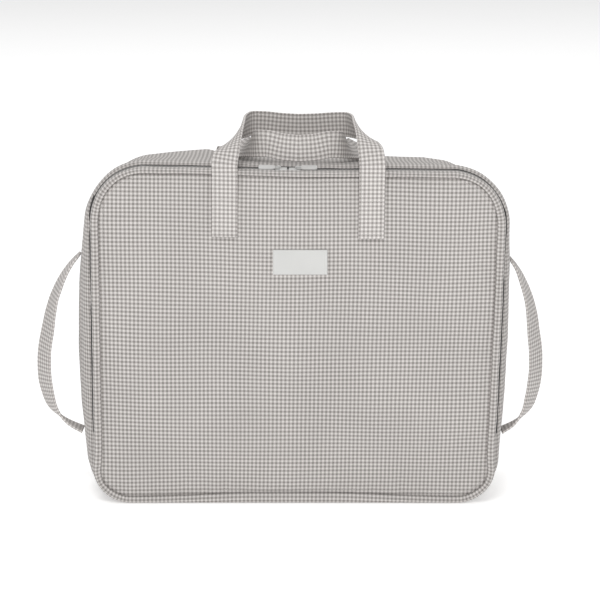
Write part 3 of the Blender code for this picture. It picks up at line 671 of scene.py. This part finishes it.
def build_gusset(look):
    outer_shares = np.linspace(GUSSET_ROWS[0].back_share, GUSSET_ROWS[-1].back_share, 34)

    def section(point):
        reach = lip_reach(point, 1)
        spots = [
            (-GUSSET_WALL, RIM_DEPTH + GUSSET_WALL * 0.25),
            (-GUSSET_WALL * 0.62, RIM_DEPTH - reach * 0.1),
            (-GUSSET_WALL * 0.42, RIM_DEPTH - reach * 0.7),
            (-GUSSET_WALL * 0.24, RIM_DEPTH - reach),
            (-GUSSET_WALL * 0.10, RIM_DEPTH - reach * 0.8),
            (GUSSET_WALL * 0.01, RIM_DEPTH - reach * 0.2),
        ]
        for share in outer_shares:
            spots.append((gusset_outer(point, share), gusset_depth(share)))
        last = GUSSET_ROWS[-1].back_share
        end_offset = gusset_outer(point, last)
        end_depth = gusset_depth(last)
        seam = back_seam(point)
        for angle in range(15, 91, 15):
            turn = math.radians(angle)
            inward = BACK_ROLL * 0.55 * (1 - math.cos(turn))
            spots.append((end_offset - inward, end_depth + (BACK - end_depth) * math.sin(turn)))
        roll_end = spots[-1][0]
        for share in (0.35, 0.7, 0.9, 1.0):
            fall = BORDER_PUFF * share ** 2
            spots.append((roll_end + (seam - roll_end) * share, BACK - fall))
        spots.append((seam, BACK_SEAM - PANEL_THICKNESS))
        for share in np.linspace(0.84, 0.06, 12):
            spots.append((gusset_outer(point, share) - GUSSET_WALL, gusset_depth(share)))
        return spots

    made = face_out(sweep("gusset_cloth", whole_rim(), section, look, closed=True))

    def height(place):
        if place.z < 0.004:
            return 0.0
        free = smooth_step(0.0, 0.03, place.z)
        return free * (0.0007 * soft_waves(place, 0.05, 3) + 0.0003 * soft_waves(place, 0.018, 8))

    relieve(made, height)
    return made


def build_border(look):
    def section(point):
        outer = border_outer(point)
        seam = seam_offset(point)
        width = outer - seam
        reach = lip_reach(point, 2)
        spots = [(seam, FRONT_SEAM + 0.0012), (seam + width * 0.03, FRONT_SEAM - 0.0002)]
        for angle in range(20, 181, 16):
            turn = math.radians(angle)
            across = seam + width * 0.5 - math.cos(turn) * width * 0.5
            proud = (FRONT_SEAM - FRONT + BORDER_PUFF) * math.sin(min(turn, math.pi / 2))
            if turn > math.pi / 2:
                fall = (1 - math.sin(turn)) * (BORDER_DEPTH * 0.42 + BORDER_PUFF)
                spots.append((across, FRONT - BORDER_PUFF + fall))
            else:
                spots.append((across, FRONT_SEAM - proud))
        for share in (0.55, 0.68, 0.80, 0.90):
            spots.append((outer, FRONT + BORDER_DEPTH * share))
        spots += [
            (outer - GUSSET_WALL * 0.03, BORDER_REAR + reach * 0.3),
            (outer - GUSSET_WALL * 0.12, BORDER_REAR + reach * 0.8),
            (outer - GUSSET_WALL * 0.26, BORDER_REAR + reach),
            (outer - GUSSET_WALL * 0.44, BORDER_REAR + reach * 0.6),
            (outer - GUSSET_WALL * 0.62, BORDER_REAR + reach * 0.1),
            (outer - GUSSET_WALL, BORDER_REAR),
            (seam, FRONT + BORDER_DEPTH * 0.80),
        ]
        return spots

    made = face_out(sweep("front_border_cloth", whole_rim(), section, look, closed=True))

    def height(place):
        free = smooth_step(0.0, 0.03, place.z)
        return free * (0.0004 * soft_waves(place, 0.03, 5) + 0.00025 * soft_waves(place, 0.011, 2))

    relieve(made, height)
    return made


def outline_sides(inset):
    """The four sides of a panel's outline, each from the middle of one corner to the middle of the
    next, as lists of (x, z) with the length up to each point. In turn: bottom, right, top, left."""
    rim = whole_rim()
    spots = [
        (p.x + (inset(p) + SEAM_UNDERLAP) * p.out_x, p.z + (inset(p) + SEAM_UNDERLAP) * p.out_z, p)
        for p in rim
    ]
    corners = []
    for sign_x, sign_z in ((-1, -1), (1, -1), (1, 1), (-1, 1)):
        goal = math.sqrt(0.5)
        gaps = [
            abs(p.out_x - sign_x * goal) + abs(p.out_z - sign_z * goal) for _, _, p in spots
        ]
        corners.append(int(np.argmin(gaps)))
    sides = []
    for first, second in zip(corners, corners[1:] + corners[:1]):
        if second < first:
            second += len(spots)
        places = np.array([spots[index % len(spots)][:2] for index in range(first, second + 1)])
        steps = np.linalg.norm(np.diff(places, axis=0), axis=1)
        sides.append((places, np.concatenate(([0.0], np.cumsum(steps)))))
    return sides


def on_side(side, share):
    places, lengths = side
    at = share * lengths[-1]
    return np.array((np.interp(at, lengths, places[:, 0]), np.interp(at, lengths, places[:, 1])))


def panel_grid(inset):
    """Rows of (x, z, share) over a panel: a grid whose outer ring is the panel's outline, and share is
    0 at the middle and 1 at the outline."""
    bottom, right, top, left = outline_sides(inset)
    columns = round(BODY_WIDTH / PANEL_STEP)
    rows = round(BODY_HEIGHT / PANEL_STEP)
    centre = np.array((0.0, PANEL_MIDDLE))
    grid = []
    for row in range(rows + 1):
        line = []
        for column in range(columns + 1):
            u = 2 * column / columns - 1
            v = 2 * row / rows - 1
            share = max(abs(u), abs(v))
            if share == 0:
                line.append((*centre, 0.0))
                continue
            if abs(v) >= abs(u):
                way = (u / share + 1) / 2
                edge = on_side(bottom, way) if v < 0 else on_side(top, 1 - way)
            else:
                way = (v / share + 1) / 2
                edge = on_side(right, way) if u > 0 else on_side(left, 1 - way)
            line.append((*(centre + (edge - centre) * share), share))
        grid.append(line)
    return grid


def crease_depth(row, x, z):
    """Depth of one crease at a place, deepest at its seam end."""
    length = math.hypot(row.run_x, row.run_z)
    way_x, way_z = row.run_x / length, row.run_z / length
    along = (x - row.x) * way_x + (z - row.z) * way_z
    aside = (x - row.x) * way_z - (z - row.z) * way_x
    share = along / length
    if share < -0.3 or share > 1.3:
        return 0.0
    fade = smooth_step(-0.3, 0.1, share) * (1 - smooth_step(0.3, 1.3, share))
    ridge = 0.5 * hump(aside, row.width * 2.2, row.width * 1.3) + 0.5 * hump(aside, -row.width * 2.2, row.width * 1.3)
    return row.depth * fade * (hump(aside, 0, row.width) - ridge)


def panel_relief(x, z, share, seed):
    """How far the padded cloth stands out from the panel's crown: soft swellings over the panel, and
    gathers that run in from its seams."""
    near = (1 - share) * BODY_HEIGHT / 2
    inside = smooth_step(0.0, 0.014, near)
    swell = PANEL_SWELL * soft_waves(Vector((x, seed, z)), 0.085, seed)
    swell += PANEL_SWELL * 0.3 * soft_waves(Vector((x, seed, z)), 0.033, seed + 2)
    sideways = smooth_step(-0.15, 0.15, abs(x) / BODY_WIDTH - abs(z - PANEL_MIDDLE) / BODY_HEIGHT)
    from_side = noise.noise(Vector((x / 0.060, z / 0.013, seed)))
    from_end = noise.noise(Vector((x / 0.013, z / 0.060, seed)))
    gather = SEAM_GATHER * (from_side * sideways + from_end * (1 - sideways))
    relief = swell * inside + gather * smooth_step(0.0, 0.004, near) * math.exp(-near / 0.017)
    if seed == 1:
        relief -= sum(crease_depth(row, x, z) for row in CREASES) * smooth_step(0.0, 0.003, near)
    relief -= STITCH_PRESS * hump(near, PANEL_STITCH_INSET, 0.0013)
    return relief - SEAM_TUCK * math.exp(-near / 0.0022)


def build_panel(name, inset, facing, edge_depth, look, seed):
    """A padded panel: a crowned face, a plain inner face and the seam between them."""
    grid = panel_grid(inset)
    rows, columns = len(grid), len(grid[0])
    verts, uvs = [], []
    for line in grid:
        uv_line = []
        for x, z, share in line:
            proud = crown(share) + panel_relief(x, z, share, seed)
            verts.append(sag(x, edge_depth + facing * proud, z))
            wander = 0.0016 * noise.noise(Vector((x / 0.10, z / 0.06, seed)))
            stray = 0.0012 * noise.noise(Vector((x / 0.06, z / 0.10, seed + 7)))
            uv_line.append((x + stray, z + wander))
        uvs.append(uv_line)
    inner = edge_depth - facing * PANEL_THICKNESS
    for line in grid:
        verts.extend(sag(x, inner + facing * crown(share), z) for x, z, share in line)
    faces, corners = grid_faces(rows, columns, False, False, uvs, flip=facing > 0)
    back_faces, back_corners = grid_faces(rows, columns, False, False, uvs, flip=facing < 0)
    size = rows * columns
    faces += [[index + size for index in face] for face in back_faces]
    corners += back_corners
    ring = (
        [(0, c) for c in range(columns - 1)]
        + [(r, columns - 1) for r in range(rows - 1)]
        + [(rows - 1, c) for c in range(columns - 1, 0, -1)]
        + [(r, 0) for r in range(rows - 1, 0, -1)]
    )
    for here, there in zip(ring, ring[1:] + ring[:1]):
        first = here[0] * columns + here[1]
        second = there[0] * columns + there[1]
        faces.append([first, second, second + size, first + size])
        corners += [uvs[here[0]][here[1]], uvs[there[0]][there[1]]] * 2
    return face_out(mesh_object(name, verts, faces, corners, look))


# Zip

def build_tape(name, side, look):
    def section(point):
        middle = border_outer(point) / 2 - ZIP_RECESS
        wall = middle - side * border_outer(point) / 2
        near = GAP / 2
        far = ZIP_GAP / 2 - GAP
        depth = BORDER_REAR + ZIP_GAP / 2
        if side > 0:
            wall += (ZIP_RECESS - TAPE_EDGE) * smooth_step(ZIP_END_HEIGHT, ZIP_END_HEIGHT + 0.01, point.z)
        return [
            (middle, depth + side * near),
            (middle + 0.0001, depth + side * (near + far) / 2),
            (wall, depth + side * far),
            (wall - TAPE_THICKNESS, depth + side * far),
            (middle - TAPE_THICKNESS, depth + side * near),
        ]

    made = sweep(name, zip_rim(), section, look, closed=False)
    return face_out(made)


def tube(name, places, ups, radius, sides, look):
    """A round wire along places, with a rough up direction at each."""
    places = np.array(places)
    ahead = np.vstack((places[1:], places[-1:]))
    behind = np.vstack((places[:1], places[:-1]))
    tangent = ahead - behind
    tangent /= np.linalg.norm(tangent, axis=1)[:, None]
    across = np.cross(tangent, np.array(ups))
    across /= np.linalg.norm(across, axis=1)[:, None]
    up = np.cross(across, tangent)
    angles = np.arange(sides) * 2 * math.pi / sides
    verts = (
        places[:, None]
        + across[:, None] * (radius * np.cos(angles))[None, :, None]
        + up[:, None] * (radius * np.sin(angles))[None, :, None]
    ).reshape(-1, 3)
    uvs = [[(row * radius, column * radius) for column in range(sides + 1)] for row in range(len(places))]
    faces, corners = grid_faces(len(places), sides, False, True, uvs)
    last = (len(places) - 1) * sides
    faces.append(list(range(sides)))
    faces.append([last + column for column in reversed(range(sides))])
    corners += [uvs[0][column] for column in range(sides)]
    corners += [uvs[-1][column] for column in reversed(range(sides))]
    return face_out(mesh_object(name, verts, faces, corners, look))


def build_coil(name, side, look):
    """One row of the zip's teeth, a wire wound along the tape's edge."""
    rim = zip_rim()
    lengths = [point.along for point in rim]
    turns = int(lengths[-1] / TOOTH_PITCH)
    steps = 8
    places, ups = [], []
    for step in range(turns * steps):
        along = lengths[-1] * step / (turns * steps)
        index = min(int(np.searchsorted(lengths, along, side="right")) - 1, len(rim) - 2)
        share = (along - lengths[index]) / (lengths[index + 1] - lengths[index])
        first, second = rim[index], rim[index + 1]
        point = RimPoint(*(a + (b - a) * share for a, b in zip(first, second)))
        turn = 2 * math.pi * step / steps
        reach = COIL_WIDTH * 0.30 + COIL_WIDTH * 0.20 * math.cos(turn)
        rise = GAP + TOOTH_WIRE / 2 + (COIL_HEIGHT - TOOTH_WIRE) * (0.5 + 0.5 * math.sin(turn))
        offset, depth = zip_place(point, side * reach, rise)
        places.append(at_rim(point, offset, depth))
        ups.append((point.out_x, 0.0, point.out_z))
    return tube(name, places, ups, TOOTH_WIRE / 2, 5, look)


def build_hinge(look):
    def section(point):
        outer = -ZIP_RECESS
        front = border_outer(point) + outer
        middle = (front + outer) / 2
        half = BORDER_REAR + ZIP_GAP / 2
        return [
            (front, BORDER_REAR + GAP),
            (middle - 0.0004, half),
            (outer, RIM_DEPTH - GAP),
            (outer - TAPE_THICKNESS, RIM_DEPTH - GAP),
            (middle - 0.0004 - TAPE_THICKNESS, half),
            (front - TAPE_THICKNESS, BORDER_REAR + GAP),
        ]

    return face_out(sweep("flap_hinge_cloth", hinge_rim(), section, look, closed=False))


# Straps

def smooth_path(controls):
    """Rows of a smooth curve through controls, each a place and a turn in degrees."""
    rows = [Vector((*place, turn)) for place, turn in controls]
    lengths = [(end[0] - start[0]).length for start, end in zip(controls, controls[1:])]
    slopes = [(rows[index + 1] - rows[index]) / lengths[index] for index in range(len(lengths))]
    pace = [slopes[0]]
    for index in range(1, len(lengths)):
        before, after = lengths[index - 1], lengths[index]
        pace.append((slopes[index - 1] * after + slopes[index] * before) / (before + after))
    pace.append(slopes[-1])
    path = []
    for index, length in enumerate(lengths):
        steps = max(2, round(length / STRAP_STEP))
        for step in range(steps):
            t = step / steps
            path.append(
                rows[index] * (2 * t ** 3 - 3 * t ** 2 + 1)
                + pace[index] * length * (t ** 3 - 2 * t ** 2 + t)
                + rows[index + 1] * (3 * t ** 2 - 2 * t ** 3)
                + pace[index + 1] * length * (t ** 3 - t ** 2)
            )
    path.append(rows[-1])
    return [(row.xyz, row.w) for row in path]


StrapRing = namedtuple("StrapRing", "place across face along")


def strap_rings(places, ways):
    """Middle, width direction, facing direction and length so far of each row of a strap."""
    rings = []
    along = 0.0
    for index, (place, way) in enumerate(zip(places, ways)):
        ahead = places[min(index + 1, len(places) - 1)]
        behind = places[max(index - 1, 0)]
        tangent = (ahead - behind).normalized()
        across = (way - tangent * way.dot(tangent)).normalized()
        if index:
            along += (place - places[index - 1]).length
        rings.append(StrapRing(place, across, tangent.cross(across), along))
    return rings


def strap_point(ring, across, out):
    return sag(*(ring.place + ring.across * across + ring.face * out))


def strap_thickness(across):
    """Half the thickness of a strap at a distance from its middle: pressed at its two seams."""
    half_width = STRAP_WIDTH / 2
    seam = half_width - STRAP_STITCH_INSET
    half = STRAP_THICKNESS / 2
    pressed = 0.00045 * hump(abs(across), seam, 0.0011)
    edge = min(1.0, (half_width - abs(across)) / half)
    rounding = math.sqrt(max(0.0, 1 - (1 - edge) ** 2))
    return (half - pressed) * rounding


def build_strap(name, rings, look, seed, breadth=1.0):
    half_width = STRAP_WIDTH / 2
    top = [-half_width * math.cos(math.pi * step / 24) for step in range(25)]
    section = [(a, strap_thickness(a)) for a in top]
    section += [(a, -strap_thickness(a)) for a in reversed(top[1:-1])]
    verts, uvs = [], []
    around = [0.0]
    for first, second in zip(section, section[1:] + section[:1]):
        around.append(around[-1] + math.dist(first, second))
    half_round = around[24]
    for ring in rings:
        wave = noise.noise(Vector((ring.along / 0.02, seed, 0)))
        for across, out in section:
            slack = noise.noise(Vector((ring.along / 0.012, across / 0.008, seed)))
            verts.append(strap_point(ring, across * (breadth + STRAP_WANDER * wave), out + STRAP_WAVE * (wave + slack)))
        line = []
        for index, at in enumerate(around):
            side = at if index <= 24 else 2 * half_round - at
            line.append((side, ring.along))
        uvs.append(line)
    count = len(section)
    faces, corners = grid_faces(len(rings), count, False, True, uvs)
    for row, spots in ((0, list(range(count))), (len(rings) - 1, list(reversed(range(count))))):
        faces.append([row * count + column for column in spots])
        corners += [uvs[row][column] for column in spots]
    return face_out(mesh_object(name, verts, faces, corners, look))


def handle_rings(left_rows, right_rows, facing, reach):
    half_spacing = LEG_SPACING / 2
    lift = STRAP_THICKNESS / 2 + GAP * 2
    rim_top = BODY_HEIGHT - BORDER_STEP
    seam_height = LEG_FOOT_HEIGHT + (rim_top - LEG_FOOT_HEIGHT) * 0.53
    seam_depth, edge_depth = (-FRONT_SEAM, BORDER_PUFF - FRONT) if facing < 0 else (BACK_SEAM, BACK)
    start_depth = edge_depth + lift + GAP

    def half_path(side, rows):
        controls = []
        for height in (LEG_FOOT_HEIGHT, (LEG_FOOT_HEIGHT + seam_height) / 2, seam_height):
            face = max(seam_depth + panel_face(half_spacing, height), edge_depth)
            controls.append((Vector((side * half_spacing, facing * (face + lift), height)), 0.0))
        for row in rows:
            depth = facing * (start_depth - reach * row.reach_share)
            height = BODY_HEIGHT + HANDLE_GRIP_RISE * row.rise_share
            controls.append((Vector((side * half_spacing * row.across_share, depth, height)), row.lean))
        return smooth_path(controls)

    places, ways = [], []
    left = half_path(-1, left_rows)
    right = half_path(1, right_rows)
    for side, path in ((-1, left), (1, reversed(right[:-1]))):
        for place, lean in path:
            turn = math.radians(lean)
            places.append(place)
            ways.append(Vector((side * math.cos(turn), 0, -math.sin(turn))))
    return strap_rings(places, ways)


def sewn_place(side, height):
    point = RimPoint(side * BODY_WIDTH / 2, height, side, 0, 0)
    proud = 0.0
    for depth in (-STRAP_WIDTH / 2, 0.0, STRAP_WIDTH / 2):
        share = (SIDE_STRAP_DEPTH + depth - RIM_DEPTH) / (BACK - RIM_DEPTH)
        proud = max(proud, gusset_outer(point, share))
    return point.x + side * (proud + STRAP_THICKNESS / 2 + GAP)


def side_strap_rings(side, stand):
    bottom = SIDE_STRAP_TOP - SIDE_STRAP_DROP
    top_x = sewn_place(side, SIDE_STRAP_TOP)
    bottom_x = sewn_place(side, bottom)
    controls = [(Vector((top_x, SIDE_STRAP_DEPTH, SIDE_STRAP_TOP)), 0.0)]
    for row in SIDE_STRAP_ROWS:
        x = top_x + (bottom_x - top_x) * row.drop_share + side * stand * row.stand_share
        height = SIDE_STRAP_TOP - SIDE_STRAP_DROP * row.drop_share
        controls.append((Vector((x, SIDE_STRAP_DEPTH, height)), row.turn))
    controls.append((Vector((bottom_x, SIDE_STRAP_DEPTH, bottom)), 0.0))
    places, ways = [], []
    for place, turn in smooth_path(controls):
        angle = math.radians(turn)
        places.append(place)
        ways.append(Vector((side * math.sin(angle), math.cos(angle), 0)))
    return strap_rings(places, ways)


# Stitches

def sew(name, rows, look):
    """Rows of stitches joined into one mesh. A row is a list of (place, normal)."""
    starts, ends, normals = [], [], []
    for row in rows:
        places = np.array([place for place, _ in row])
        ups = np.array([normal for _, normal in row])
        lengths = np.concatenate(([0.0], np.cumsum(np.linalg.norm(np.diff(places, axis=0), axis=1))))
        at = STITCH_GAP
        while at + STITCH_LENGTH < lengths[-1]:
            first = [np.interp(at, lengths, places[:, axis]) for axis in range(3)]
            second = [np.interp(at + STITCH_LENGTH, lengths, places[:, axis]) for axis in range(3)]
            middle = [np.interp(at + STITCH_LENGTH / 2, lengths, ups[:, axis]) for axis in range(3)]
            starts.append(first)
            ends.append(second)
            normals.append(middle)
            at += STITCH_LENGTH + STITCH_GAP
    starts, ends, normals = np.array(starts), np.array(ends), np.array(normals)
    normals /= np.linalg.norm(normals, axis=1)[:, None]
    run = ends - starts
    side_ways = np.cross(run, normals)
    side_ways /= np.linalg.norm(side_ways, axis=1)[:, None]
    profile = ((0.0, -0.9, 0.55), (0.18, 0.15, 0.95), (0.5, 0.35, 1.05), (0.82, 0.15, 0.95), (1.0, -0.9, 0.55))
    sides = 6
    radius = THREAD_DIAMETER / 2
    verts, faces = [], []
    shells = []
    for share, rise, fat in profile:
        middle = starts + run * share + normals * rise * radius
        for step in range(sides):
            angle = 2 * math.pi * step / sides
            spot = middle + normals * math.cos(angle) * radius * fat + side_ways * math.sin(angle) * radius * fat
            shells.append(spot)
    verts = np.stack(shells, axis=1).reshape(-1, 3)
    per_stitch = len(profile) * sides
    for stitch in range(len(starts)):
        base = stitch * per_stitch
        for ring in range(len(profile) - 1):
            for step in range(sides):
                after = (step + 1) % sides
                low = base + ring * sides
                faces.append([low + step, low + after, low + sides + after, low + sides + step])
        faces.append([base + step for step in reversed(range(sides))])
        faces.append([base + per_stitch - sides + step for step in range(sides)])
    corner_count = sum(len(face) for face in faces)
    return face_out(mesh_object(name, verts, faces, np.zeros((corner_count, 2)), look))


def settled(rows, piece):
    """Stitch rows moved along their normals onto the surface of a finished piece."""
    mesh = piece.data
    tree = BVHTree.FromPolygons([v.co for v in mesh.vertices], [p.vertices for p in mesh.polygons])
    made = []
    for row in rows:
        line = []
        for place, normal in row:
            way = normal.normalized()
            hit = tree.ray_cast(place + way * SETTLE_REACH, -way, SETTLE_REACH * 2)[0]
            if hit is not None:
                line.append((hit + way * THREAD_DIAMETER * 0.1, way))
        made.append(line)
    return made


def strap_stitch_rows(rings):
    """The two seams along a strap, on both of its faces."""
    seam = STRAP_WIDTH / 2 - STRAP_STITCH_INSET
    rows = []
    for across in (-seam, seam):
        for side in (-1, 1):
            out = side * (strap_thickness(seam) + THREAD_DIAMETER * 0.1)
            rows.append([
                (strap_point(ring, across, out), ring.face * side) for ring in rings
            ])
    return rows


def cross_rows(rings, distances, outside):
    """Seams across a strap at distances from each of its ends, on its outer face there."""
    rows = []
    total = rings[-1].along
    seam = STRAP_WIDTH / 2 - STRAP_STITCH_INSET
    for distance in distances:
        for goal in (distance, total - distance):
            ring = min(rings, key=lambda r: abs(r.along - goal))
            side = 1 if ring.face.dot(outside) > 0 else -1
            row = []
            for across in np.linspace(-seam, seam, 12):
                out = side * (strap_thickness(across) + THREAD_DIAMETER * 0.1)
                row.append((strap_point(ring, across, out), ring.face * side))
            rows.append(row)
    return rows


def panel_stitch_row(inset, facing, edge_depth):
    """The seam that runs round a panel just inside its edge."""
    row = []
    for point in whole_rim() + whole_rim()[:1]:
        offset = inset(point) - PANEL_STITCH_INSET
        x = point.x + offset * point.out_x
        z = point.z + offset * point.out_z
        half_height = BODY_HEIGHT / 2
        share = 1 - PANEL_STITCH_INSET / half_height
        place = sag(x, edge_depth + facing * crown(share), z)
        row.append((place, Vector((0, facing, 0))))
    return row


# Label

def build_label(look):
    """A thin patch with soft edges, bare."""
    low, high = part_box("label_patch")
    columns, rows = 48, 24
    depth_of = {}
    verts, uvs = [], []
    for row in range(rows + 1):
        line = []
        for column in range(columns + 1):
            s = 0.5 - 0.5 * math.cos(math.pi * column / columns)
            t = 0.5 - 0.5 * math.cos(math.pi * row / rows)
            x = low.x + (high.x - low.x) * s
            z = low.z + (high.z - low.z) * t
            edge = min(x - low.x, high.x - x, z - low.z, high.z - z)
            rise = 0.0014 * math.sqrt(max(0.0, 1 - (1 - min(1.0, edge / 0.0009)) ** 2))
            welt = 0.00020 * hump(edge, 0.0021, 0.0005)
            verts.append((x, high.y - rise + welt, z))
            line.append((x, z))
        uvs.append(line)
    size = len(verts)
    for row in range(rows + 1):
        for column in range(columns + 1):
            x, _, z = verts[row * (columns + 1) + column]
            verts.append((x, high.y + 0.0003, z))
    faces, corners = grid_faces(rows + 1, columns + 1, False, False, uvs)
    back_faces, back_corners = grid_faces(rows + 1, columns + 1, False, False, uvs, flip=True)
    faces += [[index + size for index in face] for face in back_faces]
    corners += back_corners
    wide = columns + 1
    ring = (
        [(0, c) for c in range(columns)]
        + [(r, columns) for r in range(rows)]
        + [(rows, c) for c in range(columns, 0, -1)]
        + [(r, 0) for r in range(rows, 0, -1)]
    )
    for here, there in zip(ring, ring[1:] + ring[:1]):
        first = here[0] * wide + here[1]
        second = there[0] * wide + there[1]
        faces.append([first, second, second + size, first + size])
        corners += [uvs[here[0]][here[1]], uvs[there[0]][there[1]]] * 2
    return face_out(mesh_object("label_leather", verts, faces, corners, look))


# Stage

def build_stage():
    bpy.ops.mesh.primitive_plane_add(size=FLOOR_SIZE, location=(0, FLOOR_SIZE / 4, 0))
    floor = bpy.context.object
    floor.name = "floor"
    look, tree, shader = new_material("floor_paint")
    place = add_node(tree, "ShaderNodeTexCoord").outputs["Object"]
    fine = add_node(tree, "ShaderNodeTexNoise", {"Vector": place, "Scale": 3.0}).outputs[0]
    tones = add_node(tree, "ShaderNodeValToRGB", {0: fine})
    tones.color_ramp.elements[0].color = (0.90, 0.90, 0.90, 1)
    tones.color_ramp.elements[1].color = (0.92, 0.92, 0.92, 1)
    tree.links.new(tones.outputs[0], shader.inputs["Base Color"])
    shader.inputs["Roughness"].default_value = 0.9
    shader.inputs["Emission Color"].default_value = (1, 1, 1, 1)
    shader.inputs["Emission Strength"].default_value = FLOOR_GLOW
    floor.data.materials.append(look)

    world = bpy.data.worlds.new("studio")
    world.use_nodes = True
    backdrop = world.node_tree.nodes["Background"]
    backdrop.inputs[0].default_value = (1, 1, 1, 1)
    backdrop.inputs[1].default_value = WORLD_LIGHT
    bpy.context.scene.world = world
    bpy.context.scene.view_settings.view_transform = "Standard"

    for name, place, size, power in LAMPS:
        light = bpy.data.lights.new(name, "AREA")
        light.size = size
        light.energy = power
        lamp = bpy.data.objects.new(name, light)
        lamp.location = place
        lamp.rotation_euler = (Vector((0, 0, 0.2)) - Vector(place)).to_track_quat("-Z", "Y").to_euler()
        bpy.context.scene.collection.objects.link(lamp)


def build_camera():
    data = bpy.data.cameras.new("camera")
    data.lens = CAMERA_LENS
    data.sensor_width = SENSOR_WIDTH
    data.shift_x = CAMERA_SHIFT
    data.clip_end = 100
    camera = bpy.data.objects.new("camera", data)
    camera.location = (
        0,
        -CAMERA_DISTANCE * math.cos(CAMERA_ANGLE),
        CAMERA_HEIGHT + CAMERA_DISTANCE * math.sin(CAMERA_ANGLE),
    )
    camera.rotation_euler = (math.pi / 2 - CAMERA_ANGLE, 0, 0)
    bpy.context.scene.collection.objects.link(camera)
    bpy.context.scene.camera = camera


# Dressing

def dress(made, slot, *nodes):
    """A piece attached to the case's body in place of some solids, which it hides. The slot is not used."""
    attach(made, "case")
    if nodes:
        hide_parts(*nodes)
    return made


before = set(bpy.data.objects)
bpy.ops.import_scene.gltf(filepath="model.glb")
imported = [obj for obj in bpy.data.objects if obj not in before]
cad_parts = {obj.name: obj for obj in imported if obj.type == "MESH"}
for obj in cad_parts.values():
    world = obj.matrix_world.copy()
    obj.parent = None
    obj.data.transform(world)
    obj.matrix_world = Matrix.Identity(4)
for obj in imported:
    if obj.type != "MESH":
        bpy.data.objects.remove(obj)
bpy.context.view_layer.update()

check = gingham("check_cloth", *CLOTH_TONES)
# Lighter copy of the check for the straps: painted light
strap_check_painted_light = gingham("strap_cloth_painted_light", *STRAP_TONES_PAINTED_LIGHT)
# The zip tape is painted near-black: painted shade of the slit between the border and the gusset
tape = tape_material("tape_painted_shade", (0.075, 0.072, 0.070))
coil = plain_material("coil_nylon", (0.42, 0.41, 0.40), 0.42, grain=900)
metal = plain_material("zip_lacquer", (0.62, 0.62, 0.61), 0.34, metallic=0.3, grain=1200, relief=0.00001)
leather = plain_material("label_skin", (0.57, 0.57, 0.556), 0.55, grain=2600, relief=0.00006, spread=0.05)
thread = plain_material("thread_cotton", (0.50, 0.48, 0.465), 0.8, grain=3000, sheen=0.2)

panel = build_panel("front_panel_cloth", seam_offset, -1, FRONT_SEAM, check, 1)
dress(panel, "gingham", "front_panel")
rear = build_panel("back_panel_cloth", back_seam, 1, BACK_SEAM, check, 4)
dress(rear, "gingham", "back_panel")
dress(build_border(check), "gingham", "front_border")
dress(build_gusset(check), "gingham", "gusset")
dress(build_hinge(check), "gingham", "flap_hinge")

for name, side in (("front", -1), ("rear", 1)):
    dress(build_tape(f"zip_tape_{name}_weave", side, tape), "zip_tape", f"zip_tape_{name}")
    dress(build_coil(f"zip_teeth_{name}", side, coil), "zip_coil", "zip_coil")
for name in ("zip_slider_left", "zip_slider_right", "zip_pull_left", "zip_pull_right"):
    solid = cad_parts[name]
    for place in solid.material_slots:
        place.material = metal

FRONT_OUTSIDE = Vector((0, -1, 0))
BACK_OUTSIDE = Vector((0, 1, 0))
LEFT_OUTSIDE = Vector((-1, 0, 0))
RIGHT_OUTSIDE = Vector((1, 0, 0))
front_rings = handle_rings(FRONT_HANDLE_LEFT, FRONT_HANDLE_RIGHT, -1, FRONT_HANDLE_REACH)
back_rings = handle_rings(BACK_HANDLE_ROWS, BACK_HANDLE_ROWS, 1, BACK_HANDLE_REACH)
left_rings = side_strap_rings(-1, LEFT_STRAP_STAND)
right_rings = side_strap_rings(1, RIGHT_STRAP_STAND)
for name, rings, seams, outside, seed in (
    ("front_handle", front_rings, LEG_SEAMS, FRONT_OUTSIDE, 1),
    ("back_handle", back_rings, LEG_SEAMS, BACK_OUTSIDE, 2),
    ("side_strap_left", left_rings, LOOP_SEAMS, LEFT_OUTSIDE, 3),
    ("side_strap_right", right_rings, LOOP_SEAMS, RIGHT_OUTSIDE, 4),
):
    breadth = BACK_HANDLE_BREADTH if name == "back_handle" else 1.0
    strap = dress(build_strap(name + "_cloth", rings, strap_check_painted_light, seed, breadth), "strap", name)
    seam_rows = strap_stitch_rows(rings) + cross_rows(rings, seams, outside)
    dress(sew(name + "_stitches", settled(seam_rows, strap), thread), "strap")

for name, piece, inset, facing, depth in (
    ("front", panel, seam_offset, -1, FRONT_SEAM),
    ("back", rear, back_seam, 1, BACK_SEAM),
):
    seam_row = panel_stitch_row(inset, facing, depth)
    dress(sew(name + "_panel_stitches", settled([seam_row], piece), thread), "gingham")
dress(build_label(leather), "label", "label_patch")

build_stage()
build_camera()
